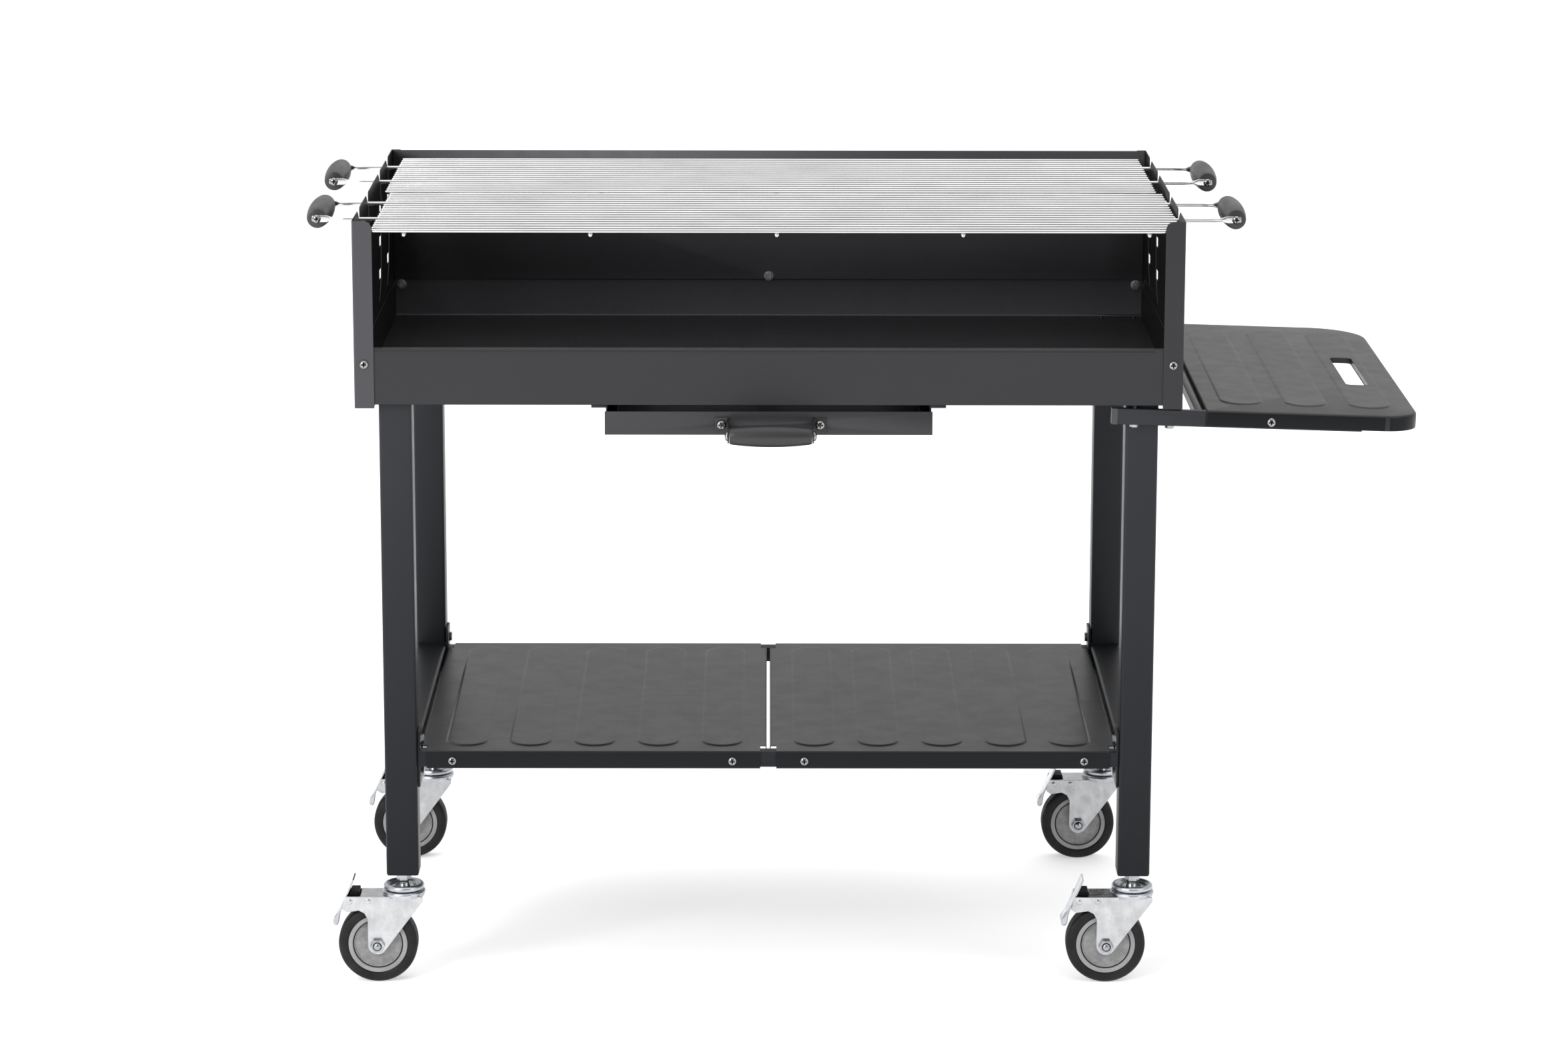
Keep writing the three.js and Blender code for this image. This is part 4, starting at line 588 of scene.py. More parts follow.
LEG_HALF = 20.25
LEG_TUBE = (143.5, 745.7)
LEG_PLUG_HALF = 19.6
LEG_PLUG = (141.5, 143.6)
RAIL_HEIGHT = (266, 306)
RAIL_LENGTH = (52.8, 555.2)


def square_about(x, y, half, radius):
    return rectangle((x - half, x + half), (y - half, y + half), radius, 6)


for side_name, side in SIDES:
    for end_name, leg_y in ENDS:
        leg_bm = bmesh.new()
        extrude(leg_bm, square_about(side * LEG_X, leg_y, LEG_HALF, 4), "z", *LEG_TUBE)
        extrude(leg_bm, square_about(side * LEG_X, leg_y, LEG_PLUG_HALF, 3.6), "z", *LEG_PLUG)
        mesh_piece(f"leg_{end_name}_{side_name}_tube", leg_bm, FRAME_COAT, "cart",
                   [f"leg_{end_name}_{side_name}"], sharp=30)
    rail_bm = bmesh.new()
    rail = rectangle((side * LEG_X - LEG_HALF, side * LEG_X + LEG_HALF), RAIL_HEIGHT, 4, 6)
    extrude(rail_bm, rail, "y", *RAIL_LENGTH)
    mesh_piece(f"lower_rail_{side_name}_tube", rail_bm, FRAME_COAT, "cart",
               [f"lower_rail_{side_name}"], sharp=30)

# Weld beads up the inner edges of the joints between the rails and the legs
BEAD_ROWS = (52.6, 555.4)
BEAD_RADIUS, BEAD_LENGTH, BEAD_STEP = 1.5, 5.4, 4

weld_bm = bmesh.new()
for _, side in SIDES:
    bead_x = side * (LEG_X - LEG_HALF) + side * 0.5
    for bead_y in BEAD_ROWS:
        for i in range(9):
            low = RAIL_HEIGHT[0] + BEAD_STEP * (i + 1)
            high = low + BEAD_LENGTH
            rod(weld_bm, (bead_x, bead_y, low), (bead_x, bead_y, high), BEAD_RADIUS, 10)
mesh_piece("frame_weld_beads", weld_bm, FRAME_COAT, "cart")

for end_name, _ in ENDS:
    eased(f"shelf_beam_{end_name}", FRAME_COAT, "cart", 0.5)

BEAM_PLATE_X = 435.5
BEAM_PLATE_ROWS = (37, 571)
BEAM_BOLT_HEIGHTS = (270.4, 312.4)

bolt_bm = bmesh.new()
for plate_y in BEAM_PLATE_ROWS:
    for bolt_z in BEAM_BOLT_HEIGHTS:
        for _, side in SIDES:
            hex_nut(bolt_bm, (side * BEAM_PLATE_X, plate_y, bolt_z), (-side, 0, 0), 11.2, 4.2, 7.2)
mesh_piece("beam_bolt_heads", bolt_bm, BOLT_STEEL, "cart")


# ---------------- pressed shelves

# A rib's rise out of its sheet: (inset from the rib's edge, height)
RIB_RISE = ((0, -0.05), (0.7, 0.1), (1.4, 0.42), (2.1, 0.86), (2.9, 1.2), (4.0, 1.36), (5.4, 1.4),
            (9.0, 1.4))
RIB_END_STEPS = 24


def pressed_rib(bm, u, v, base, opening=None):
    """A long rib with round ends that swells softly out of its sheet. Its top may have an opening."""
    radius = (u[1] - u[0]) / 2
    centre = (u[0] + u[1]) / 2
    rings = []
    for inset, height in RIB_RISE:
        reach = radius - inset
        points = []
        for middle, start in ((v[0] + radius, math.pi), (v[1] - radius, 0)):
            for i in range(RIB_END_STEPS + 1):
                angle = start + math.pi * i / RIB_END_STEPS
                x, y = centre + reach * math.cos(angle), middle + reach * math.sin(angle)
                points.append((x, y, base + height))
        rings.append(loop(bm, points))
    quad_strip(bm, rings)
    if opening:
        fill_between(bm, rings[-1], loop(bm, [(x, y, base + RIB_RISE[-1][1]) for x, y in opening]))
    else:
        bm.faces.new(rings[-1])


SHELF_TOP = 302.4
SHELF_SHEET = 1.2
SHELF_FRONT, SHELF_REAR = 16.5, 573.5
SHELF_INNER, SHELF_OUTER = 2, 435
SHELF_NOTCH = (8, 28.5)
SHELF_BEND = 1.6
FLANGE_DROP = 22
SHELF_RIBS = 5
SHELF_RIB_PITCH = 80.3
SHELF_RIB_HALF = 27.5
SHELF_RIB_SPAN = (40.5, 549.5)
NOTCHED_X = (SHELF_INNER + SHELF_NOTCH[0], SHELF_OUTER - SHELF_NOTCH[0])
NOTCHED_Y = (SHELF_FRONT + SHELF_NOTCH[1], SHELF_REAR - SHELF_NOTCH[1])


def shelf_pan_outline(inset):
    """The right-hand panel's flat part, with its corners notched, inside the flanges' bends."""
    x = (SHELF_INNER + inset, SHELF_OUTER - inset)
    y = (SHELF_FRONT + inset, SHELF_REAR - inset)
    u, v = NOTCHED_X, NOTCHED_Y
    return [(u[0], y[0]), (u[1], y[0]), (u[1], v[0]), (x[1], v[0]), (x[1], v[1]), (u[1], v[1]),
            (u[1], y[1]), (u[0], y[1]), (u[0], v[1]), (x[0], v[1]), (x[0], v[0]), (u[0], v[0])]


for side_name, side in SIDES:
    panel_bm = bmesh.new()
    outline = [(side * x, y) for x, y in shelf_pan_outline(SHELF_BEND)]
    extrude(panel_bm, outline, "z", SHELF_TOP - SHELF_SHEET, SHELF_TOP)
    flange_x = both_ways(side, *NOTCHED_X)
    for edge, inward, axis, along in (
        (SHELF_FRONT, 1, "x", flange_x),
        (SHELF_REAR, -1, "x", flange_x),
        (side * SHELF_INNER, side, "y", NOTCHED_Y),
        (side * SHELF_OUTER, -side, "y", NOTCHED_Y),
    ):
        flat_end = edge + inward * (SHELF_BEND + 0.2)
        path = [(edge, SHELF_TOP - FLANGE_DROP), (edge, SHELF_TOP), (flat_end, SHELF_TOP)]
        extrude(panel_bm, sheet_section(path, SHELF_SHEET, SHELF_BEND, -inward), axis, *along)
    for i in range(SHELF_RIBS):
        rib_x = side * ((SHELF_INNER + SHELF_OUTER) / 2 + (i - 2) * SHELF_RIB_PITCH)
        rib_width = (rib_x - SHELF_RIB_HALF, rib_x + SHELF_RIB_HALF)
        pressed_rib(panel_bm, rib_width, SHELF_RIB_SPAN, SHELF_TOP)
    pressing = mesh_piece(f"lower_shelf_{side_name}_pressing", panel_bm, SHELF_COAT, "cart",
                          [f"lower_shelf_panel_{side_name}"], sharp=50)
    # The shelf's flanges and other upright faces get a darker copy of its coat: painted shade
    second_finish(pressing, SHADED_EDGE_COAT,
                  lambda place, normal: abs(normal.z) < 0.5 and place.z < SHELF_TOP - 1)


# ---------------- firebox

FAR = 2000
NEAR = 0.2
PANEL_X = 507.5
PANEL_FRONT, PANEL_REAR = 0, 622
TRAY_FRONT, TRAY_REAR = 1.8, 618.7
TRAY_BOTTOM, TRAY_FLOOR = 746, 747.5
FASCIA_TOP = 815.5


def lengthwise_bend(y, z, radius):
    """For eased: a bend that runs along x."""
    return (-FAR, y - NEAR, z - NEAR), (FAR, y + NEAR, z + NEAR), radius


for side_name, side in SIDES:
    outer = side * PANEL_X
    folds = [((outer - NEAR, y - NEAR, 0), (outer + NEAR, y + NEAR, FAR), 2.2)
             for y in (PANEL_FRONT, PANEL_REAR)]
    panel = eased(f"side_panel_{side_name}", FIREBOX_COAT, "cart", 0.45, folds)
    # The panel's inner face gets a darker copy of the coat: painted shade inside the firebox
    second_finish(panel, INSIDE_SHADE_COAT,
                  lambda place, normal: normal.x * side < -0.7 and abs(place.x) < 507)
    if side < 0:
        # The left flange's front faces get a lighter, glossier copy of the coat: a painted highlight
        # from the light on the left
        second_finish(panel, LIT_FLANGE_COAT, lambda place, normal: normal.y < -0.3 and place.y < 3)
tray_folds = [lengthwise_bend(TRAY_FRONT, TRAY_BOTTOM, 0.9),
              lengthwise_bend(TRAY_FRONT, FASCIA_TOP, 4.4),
              lengthwise_bend(TRAY_REAR, TRAY_FLOOR, 3.0)]
tray = eased("charcoal_tray", FIREBOX_COAT, "cart", 0.4, tray_folds)
# The rear wall's inside gets a lighter copy of the coat, lighter still towards the floor: painted light
# and a painted reflection
second_finish(tray, LIT_INNER_COAT, lambda place, normal: place.y > 618 and normal.y < -0.7)
# The tray's floor inside gets a slightly darker, less glossy copy of the coat: painted shade
second_finish(tray, SHADED_FLOOR_COAT, lambda place, normal: place.y > 4 and place.z < 749 and normal.z > 0.7)
# The tray's inner side walls get the same darker coat: painted shade
second_finish(tray, INSIDE_SHADE_COAT,
              lambda place, normal: place.y > 4 and abs(normal.x) > 0.7 and place.z > 749)
# The tray's underside is painted black: painted shade in the gap above the drawer
second_finish(tray, BLACK_AND_SHADE, lambda place, normal: place.z < 747 and normal.z < -0.7)
back = eased("back_panel", FIREBOX_COAT, "cart", 0.45)
# The back panel's inside gets the same lighter coat: painted light
second_finish(back, LIT_INNER_COAT, lambda place, normal: normal.y < -0.7)

# The fascia's top edge is turned over to the inside in a round hem
HEM_TOP, HEM_RADIUS, HEM_SKIN = 815.8, 4.0, 0.4
HEM_HALF_LENGTH = 473
HEM_STEPS = 10

hem_bm = bmesh.new()
hem_foot = HEM_TOP - HEM_RADIUS - HEM_SKIN
hem = [(1.75, hem_foot), (0.5, hem_foot)]
for i in range(HEM_STEPS + 1):
    turn = math.pi / 2 * i / HEM_STEPS
    hem.append((0.35 + HEM_RADIUS * (1 - math.cos(turn)),
                HEM_TOP - HEM_RADIUS * (1 - math.sin(turn))))
hem += [(12.4, HEM_TOP), (12.4, HEM_TOP - HEM_SKIN), (1.75, HEM_TOP - HEM_SKIN)]
extrude(hem_bm, hem, "x", -HEM_HALF_LENGTH, HEM_HALF_LENGTH)
mesh_piece("fascia_hem", hem_bm, FIREBOX_COAT, "cart", sharp=40)

FASCIA_SCREW_X, FASCIA_SCREW_Z = 495, 796.5
SHELF_SCREW_X = (-395, -45, 45, 395)
SHELF_SCREW_Z = 289.9
# Screws through the rear wall: x, height, y of the nut, y of the head
REAR_SCREWS = ((-496, 791, 619, 622.2), (0, 803, 617.2, 620.5), (496, 791, 619, 622.2))
FRONT, BACK = (0, -1, 0), (0, 1, 0)

fascia_bm = bmesh.new()
for _, side in SIDES:
    cross_screw(fascia_bm, (side * FASCIA_SCREW_X, -0.3, FASCIA_SCREW_Z), FRONT)
    hex_nut(fascia_bm, (side * FASCIA_SCREW_X, 3.4, FASCIA_SCREW_Z), BACK)
mesh_piece("fascia_screws", fascia_bm, SCREW, "cart",
           ["fascia_screw_left", "fascia_screw_right"])

# The nuts inside the firebox get a lighter zinc than the others: painted light on them in the firebox's
# shade
rear_nut_bm = bmesh.new()
for rear_x, rear_z, nut_y, _ in REAR_SCREWS:
    hex_nut(rear_nut_bm, (rear_x, nut_y, rear_z), FRONT, 8.2, 4.9, 6.4)
mesh_piece("rear_wall_nuts", rear_nut_bm, LIT_NUT_STEEL, "cart")

screw_bm = bmesh.new()
for shelf_x in SHELF_SCREW_X:
    cross_screw(screw_bm, (shelf_x, SHELF_FRONT, SHELF_SCREW_Z), FRONT)
    cross_screw(screw_bm, (shelf_x, SHELF_REAR, SHELF_SCREW_Z), BACK)
for rear_x, rear_z, _, head_y in REAR_SCREWS:
    cross_screw(screw_bm, (rear_x, head_y, rear_z), BACK, 11.8, 3.7)
mesh_piece("sheet_screws", screw_bm, SCREW, "cart")


# ---------------- cooking grids

BAR_Z = 961
BARS = 17
BAR_PITCH = 18.2
BAR_RADIUS = 2.5
BAR_HALF_LENGTH = 495
CROSS_Z = 955.9
CROSS_RADIUS = 3
CROSS_RODS = 5
CROSS_SPACING = 227
CROSS_OVERHANG = 1
HANDLE_ROWS = (5, 12)
GRIP_REACH = 568.5
GRIDS = (("front", 5, 9.6), ("rear", 318.2, 2.5))  # name, y of the first bar, shift along x

# One half of a handle rod: (distance from the middle, inward bend, half depth, half height)
ROD_TIP = GRIP_REACH + 6
ROD_STATIONS = (
    (0, 0, 2.5, 2.5),
    (528, 0, 2.5, 2.5),
    (533, 0.15, 2.5, 2.5),
    (538, 0.7, 2.5, 2.5),
    (543, 1.7, 2.45, 2.45),
    (548, 2.6, 2.3, 2.3),
    (551, 2.95, 2.1, 2.5),
    (553.5, 3, 1.6, 3.4),
    (556, 3, 1.15, 4.1),
    (559, 3, 1.0, 4.35),
    (ROD_TIP - 5, 3, 1.0, 4.35),
    (ROD_TIP - 2.6, 3, 1.0, 4.1),
    (ROD_TIP - 1.1, 3, 1.0, 3.5),
    (ROD_TIP - 0.2, 3, 0.95, 2.4),
    (ROD_TIP, 3, 0.6, 1.2),
)
ROD_SEGMENTS = 20


def handle_rod(bm, y, inward, shift):
    """A rod that bends in at each end and is beaten flat into a paddle there."""
    mirrored = [(-x, o, d, h) for x, o, d, h in reversed(ROD_STATIONS[1:])]
    rings = []
    for x, offset, half_depth, half_height in (*mirrored, *ROD_STATIONS):
        power = 1.0 if half_height / half_depth < 1.3 else 0.55
        points = []
        for i in range(ROD_SEGMENTS):
            angle = 2 * math.pi * i / ROD_SEGMENTS
            c, s = math.cos(angle), math.sin(angle)
            c = math.copysign(abs(c) ** power, c)
            s = math.copysign(abs(s) ** power, s)
            points.append((shift + x, y + inward * offset + half_depth * c,
                           BAR_Z + half_height * s))
        rings.append(loop(bm, points))
    quad_strip(bm, rings)
    close_ends(bm, rings)


BARREL_STEPS = 26


def grip(bm, centre, axis, half, middle, end):
    """A barrel grip with rolled ends: half its length, and its radii in the middle and at the ends."""
    rolled = [(0, 1.2 - half), (3.4, 1.2 - half), (3.8, -half), (end - 1.6, -half),
              (end - 0.5, 0.5 - half)]
    barrel = []
    for i in range(1, BARREL_STEPS):
        share = -1 + 2 * i / BARREL_STEPS
        barrel.append((middle - (middle - end) * share * share, share * half))
    lathe(bm, rolled + barrel + [(r, -d) for r, d in reversed(rolled)], centre, axis, 44)


for grid_name, first_y, shift in GRIDS:
    body = f"grid_{grid_name}_lifted"
    wire_bm = bmesh.new()
    for row in range(BARS):
        if row not in HANDLE_ROWS:
            row_y = first_y + row * BAR_PITCH
            ends = [(shift + side * BAR_HALF_LENGTH, row_y, BAR_Z) for _, side in SIDES]
            rod(wire_bm, *ends, BAR_RADIUS)
    for i in range(CROSS_RODS):
        cross_x = shift + (i - 2) * CROSS_SPACING
        cross_y = (first_y - CROSS_OVERHANG, first_y + (BARS - 1) * BAR_PITCH + CROSS_OVERHANG)
        rod(wire_bm, (cross_x, cross_y[0], CROSS_Z), (cross_x, cross_y[1], CROSS_Z), CROSS_RADIUS, 16)
    mesh_piece(f"grid_{grid_name}_wires", wire_bm, WIRE, body,
               [f"grid_{grid_name}"], sharp=50)
    rod_ys = [first_y + row * BAR_PITCH for row in HANDLE_ROWS]
    for label, rod_y, inward in (("near", rod_ys[0], 1), ("far", rod_ys[1], -1)):
        handle_bm = bmesh.new()
        handle_rod(handle_bm, rod_y, inward, shift)
        mesh_piece(f"grid_{grid_name}_{label}_rod", handle_bm, WIRE, body,
                   [f"grid_{grid_name}_handle_rod_{label}"], sharp=55)
    grip_screw_bm = bmesh.new()
    for side_name, side in SIDES:
        grip_bm = bmesh.new()
        grip_x = shift + side * GRIP_REACH
        grip(grip_bm, (grip_x, sum(rod_ys) / 2, BAR_Z), Y, 59.3, 15.6, 12.3)
        mesh_piece(f"grid_{grid_name}_barrel_{side_name}", grip_bm, GRID_GRIP, body,
                   [f"grid_{grid_name}_grip_{side_name}"], sharp=40)
        cross_screw(grip_screw_bm, (grip_x, rod_ys[0] + 1.9, BAR_Z), FRONT, 10.6, 3.6)
        cross_screw(grip_screw_bm, (grip_x, rod_ys[1] - 1.9, BAR_Z), BACK, 10.6, 3.6)
    mesh_piece(f"grid_{grid_name}_grip_screws", grip_screw_bm, SCREW, body)


# ---------------- ash drawer

eased("ash_drawer", DRAWER_COAT, "drawer", 0.45)
for side_name, _ in SIDES:
    eased(f"drawer_rail_{side_name}", FRAME_COAT, "cart", 0.35)
    eased(f"drawer_handle_bracket_{side_name}", DARK_COAT, "drawer", 0.4)

DRAWER_X = 2.5
DRAWER_GRIP_Y, DRAWER_GRIP_Z = -50, 717.8

drawer_grip_bm = bmesh.new()
grip(drawer_grip_bm, (DRAWER_X, DRAWER_GRIP_Y, DRAWER_GRIP_Z), X, 50.4, 13.3, 10)
mesh_piece("drawer_grip_barrel", drawer_grip_bm, GRIP, "drawer", ["drawer_grip"], sharp=40)

drawer_screw_bm = bmesh.new()
for _, side in SIDES:
    cross_screw(drawer_screw_bm, (DRAWER_X + side * 60.7, -0.1, 721.8), FRONT, 11.8, 3.8)
    cross_screw(drawer_screw_bm, (DRAWER_X + side * 52.7, DRAWER_GRIP_Y, DRAWER_GRIP_Z),
                (side, 0, 0), 11.6, 3.7)
mesh_piece("drawer_screws", drawer_screw_bm, SCREW, "drawer")


# ---------------- side shelf

# The shelf droops about its arms' inner ends
DROOP_X, DROOP_Z = 421, 742.7
DROOP = (Matrix.Translation((DROOP_X, 0, DROOP_Z)) @ Matrix.Rotation(math.radians(1.75), 4, "Y")
         @ Matrix.Translation((-DROOP_X, 0, -DROOP_Z)))
SIDE_TOP = 744.2
SIDE_X = (536, 800)
SIDE_Y = (-1.2, 609.1)
SIDE_SHEET = 1.2
HAND_SLOT_X = (732, 760)
HAND_SLOT_Y = (193, 379)
HAND_SLOT_RADIUS = 8
SIDE_RIB_STARTS = (558, 637.5, 717)
SIDE_RIB_WIDTH = 55.5
SIDE_RIB_SPAN = (41.8, 566.1)
ARM_ROWS = (0.3, 596.3)


def side_outline(inset):
    """The shelf's outline: small corners at the firebox, wide ones outside."""
    corners = [(SIDE_X[0] + inset, SIDE_Y[0] + inset), (SIDE_X[1] - inset, SIDE_Y[0] + inset),
               (SIDE_X[1] - inset, SIDE_Y[1] - inset), (SIDE_X[0] + inset, SIDE_Y[1] - inset)]
    return round_corners(corners, [2.5, max(43 - inset, 2), max(70 - inset, 2), 2.5], 12)


def hand_slot(grow):
    """The hand slot's outline, grown on every side."""
    x = (HAND_SLOT_X[0] - grow, HAND_SLOT_X[1] + grow)
    y = (HAND_SLOT_Y[0] - grow, HAND_SLOT_Y[1] + grow)
    return rectangle(x, y, HAND_SLOT_RADIUS + grow, 6)


def side_loop(bm, outline, depth):
    """A loop at a depth below the shelf's top."""
    return loop(bm, [(x, y, SIDE_TOP - depth) for x, y in outline])


# From the sheet's inner face round the turned-down rim to its outer face: (inset, depth)
RIM = ((4.4, 1.2), (3.2, 3.4), (1.2, 5), (1.2, 19), (0, 19), (0, 3.4), (0.3, 2.2), (1.0, 1.0),
       (2.1, 0.25), (3.4, 0))
# From the slot's wall up to its rolled lip: (growth, depth)
SLOT_LIP = ((-0.8, 5.6), (0, 5.6), (0, -0.9), (0.5, -1.3), (1.6, -1.45))

side_bm = bmesh.new()
side_rings = [side_loop(side_bm, side_outline(inset), depth) for inset, depth in RIM]
quad_strip(side_bm, side_rings)
quad_strip(side_bm, [side_loop(side_bm, hand_slot(grow), depth) for grow, depth in SLOT_LIP])
for ring, depth in ((side_rings[-1], 0), (side_rings[0], SIDE_SHEET)):
    fill_between(side_bm, ring, side_loop(side_bm, hand_slot(0), depth))
side_pressing = mesh_piece("side_shelf_pressing", side_bm, SHELF_COAT, "cart",
                           ["side_shelf"], turn=DROOP, sharp=40)
# The side shelf's rim and other upright faces, away from the hand slot, get the same darker coat:
# painted shade
second_finish(side_pressing, SHADED_EDGE_COAT,
              lambda place, normal: abs(normal.z) < 0.4 and abs(place.x - 746) > 16)

side_rib_bm = bmesh.new()
for start in SIDE_RIB_STARTS:
    rib_span = (start, start + SIDE_RIB_WIDTH)
    opening = hand_slot(1) if rib_span[1] > HAND_SLOT_X[1] else None
    pressed_rib(side_rib_bm, rib_span, SIDE_RIB_SPAN, SIDE_TOP, opening)
mesh_piece("side_shelf_ribs", side_rib_bm, SHELF_COAT, "cart", turn=DROOP, sharp=40)

for end_name, _ in ENDS:
    eased(f"side_shelf_arm_{end_name}", FRAME_COAT, "cart", 0.8)
eased("side_shelf_crossbar", SHELF_COAT, "cart", 0.8)

# Dark blocks in the arms' inner ends: painted shade where the arms' open ends look dark
arm_bm = bmesh.new()
for arm_y in ARM_ROWS:
    box(arm_bm, (420.8, 428.5), (arm_y - 0.2, arm_y + 11.6), (723.0, 742.9))
mesh_piece("side_shelf_arm_end_shades", arm_bm, ARM_END_SHADE, "cart", turn=DROOP, bevel=0.8)

arm_screw_bm = bmesh.new()
cross_screw(arm_screw_bm, (617, SIDE_Y[0], 732), FRONT)
cross_screw(arm_screw_bm, (617, SIDE_Y[1], 732), BACK)
mesh_piece("side_shelf_screws", arm_screw_bm, SCREW, "cart", turn=DROOP)

arm_bolt_bm = bmesh.new()
for arm_y in ARM_ROWS:
    for bolt_x in (449.5, 493):
        hex_nut(arm_bolt_bm, (bolt_x, arm_y + 6.3, 723.2), (0, 0, -1), 10, 3.9)
mesh_piece("side_shelf_arm_bolts", arm_bolt_bm, BOLT_STEEL, "cart", turn=DROOP)


# ---------------- castors

# A castor's own frame: x from its swivel's axis, away from the wheel, z from the floor
AXLE = Vector((-33, 0, 50))
FORK_FOOT_RADIUS = 12.2
FORK_PLATE = (16.8, 19.3)
PINS = ((-67.3, 107.2), (-44, 107.5))
FOOT_STEPS = 12
FORK_OUTLINE = [(24.5, 113.6), (24.5, 107.6)]
for i in range(FOOT_STEPS + 1):
    foot = math.radians(-42 - 138 * i / FOOT_STEPS)
    FORK_OUTLINE.append((AXLE.x + FORK_FOOT_RADIUS * math.cos(foot),
                         AXLE.z + FORK_FOOT_RADIUS * math.sin(foot)))
FORK_OUTLINE += [(-45.2, 84), (-49, 91.5), (-56, 95.2), (-71, 93), (-77.5, 97.3), (-73, 113.6)]


def stem_lathe(bm, profile, segments):
    """A body turned about the swivel's axis. The profile's points are (radius, height)."""
    lathe(bm, profile, (0, 0, 0), Z, segments)


def wheel_lathe(bm, half, segments=96):
    """A body turned about the axle. The profile of one half is (radius, distance from the middle)."""
    lathe(bm, half + [(r, -d) for r, d in reversed(half) if d] + [half[0]], AXLE, Y, segments)


def castor_upper_race(bm):
    stem_lathe(bm, [(0, 119.6), (21.5, 119.6), (24.2, 120.2), (25.6, 121.6), (26, 123.2), (25.5, 125.2),
                    (24.2, 126.8), (22.2, 127.5), (20.2, 127.1), (18.8, 125.9), (18.2, 124.2),
                    (17.4, 123.2), (15.8, 122.8), (13.6, 123.6), (11.2, 123.8), (9.6, 123),
                    (8.4, 122.6), (0, 122.6)], 64)


def castor_stem_hardware(bm):
    """The stem's nut, the boss under it, and the shank that goes up into the leg."""
    hex_nut(bm, (0, 0, 131.2), Z, 16.2, 8.4)
    stem_lathe(bm, [(0, 122.4), (7.6, 122.4), (7.2, 124.5), (6, 126.5), (5.9, 129.5), (7.2, 131.4),
                    (0, 131.4)], 28)
    stem_lathe(bm, [(0, 141), (5.9, 141), (5.9, 165.5), (0, 165.5)], 24)


def castor_stem_collar(bm):
    stem_lathe(bm, [(0, 139.4), (7.4, 139.4), (7.6, 139.8), (7.6, 141.2), (0, 141.2)], 32)


def castor_fork(bm):
    """Two plates with rivet heads, the bridge between them, and the rivets' shanks."""
    rivet = [(0, 1.4), (1.6, 1.35), (2.9, 1.0), (3.7, 0.4), (3.8, 0)]
    for _, side in SIDES:
        extrude(bm, FORK_OUTLINE, "y", *both_ways(side, *FORK_PLATE))
        for pin_x, pin_z in PINS:
            lathe(bm, rivet, (pin_x, side * FORK_PLATE[1], pin_z), (0, side, 0), 24)
    box(bm, (-54.5, 10), (-17.5, 17.5), (111.1, 113.5))
    for pin_x, pin_z in PINS:
        lathe(bm, [(0, -17), (2.4, -17), (2.4, 17), (0, 17)], (pin_x, 0, pin_z), Y, 20)


def castor_lower_race(bm):
    stem_lathe(bm, [(0, 111.3), (25.6, 111.3), (26.4, 113.4), (27, 114.8), (27.3, 116), (26.9, 117.6),
                    (25.8, 118.8), (23.6, 119.2), (0, 119.2)], 64)


AXLE_END = 19.6
AXLE_ENDS = [(AXLE + Y * side * AXLE_END, Y * side) for _, side in SIDES]


def castor_axle(bm):
    """The axle bolt with a nut and a domed end on each side."""
    lathe(bm, [(0, -AXLE_END), (5.4, -AXLE_END), (5.4, AXLE_END), (0, AXLE_END)], AXLE, Y, 28)
    for place, outward in AXLE_ENDS:
        hex_nut(bm, place, outward, 16.2, 6)
        dome = [(0, 9), (1.8, 8.85), (3.2, 8.3), (4.2, 7.5), (4.8, 6.6), (4.9, 5.4)]
        lathe(bm, dome, place, outward, 28)


# A black ring on each axle nut: painted shade in the groove between the nut and its domed end
def castor_nut_shade_ring(bm):
    ring = [(4.6, 5.6), (4.6, 6.3), (5.0, 6.5), (5.4, 6.4), (5.8, 6.0), (5.8, 5.6), (4.6, 5.6)]
    for place, outward in AXLE_ENDS:
        lathe(bm, ring, place, outward, 32)


def castor_tyre(bm):
    half = [(37.5, 13.2), (38.4, 14.6), (39.8, 15)]
    for i in range(9):
        angle = math.pi / 16 * i
        half.append((44.4 + 5.4 * math.sin(angle), 15 - 5.4 * (1 - math.cos(angle))))
    wheel_lathe(bm, half + [(49.9, 6), (50, 0)], 120)


def castor_hub_ring(bm):
    wheel_lathe(bm, [(31.6, 9), (31.6, 13.2), (32.2, 13.9), (36.2, 14.3), (37, 14.0), (37.4, 13.2)])


# A black ring down in the gap between the hub's ring and its disc: painted shade in the groove
def castor_hub_shade_ring(bm):
    wheel_lathe(bm, [(29.8, 9), (29.8, 12.4), (31.8, 12.4), (31.8, 9)])


def castor_hub_disc(bm):
    wheel_lathe(bm, [(5.8, 15.6), (11.2, 15.6), (12, 14.8), (12.4, 12.2), (14, 11.4), (23, 11.2),
                     (28, 11.8), (29.2, 13.0), (29.9, 13.2), (30.2, 12.8), (30.2, 10.4)])


# The brake lever from its top to its toe: (x, height, half thickness, half width)
LEVER = ((-62.6, 134.2, 0.9, 15.4), (-67.6, 122.2, 0.9, 15.4), (-72.6, 110.2, 1.0, 15.4),
         (-76.3, 102.2, 1.0, 15.0), (-79.6, 95.0, 1.1, 14.2), (-81.6, 90.4, 1.6, 13.6),
         (-83.1, 87.0, 2.5, 13.4), (-84.4, 83.6, 3.3, 13.4), (-85.4, 80.2, 3.8, 13.2),
         (-85.9, 77.0, 3.5, 12.6), (-86.1, 74.6, 2.5, 11.4), (-86.1, 73.4, 1.2, 10.0))


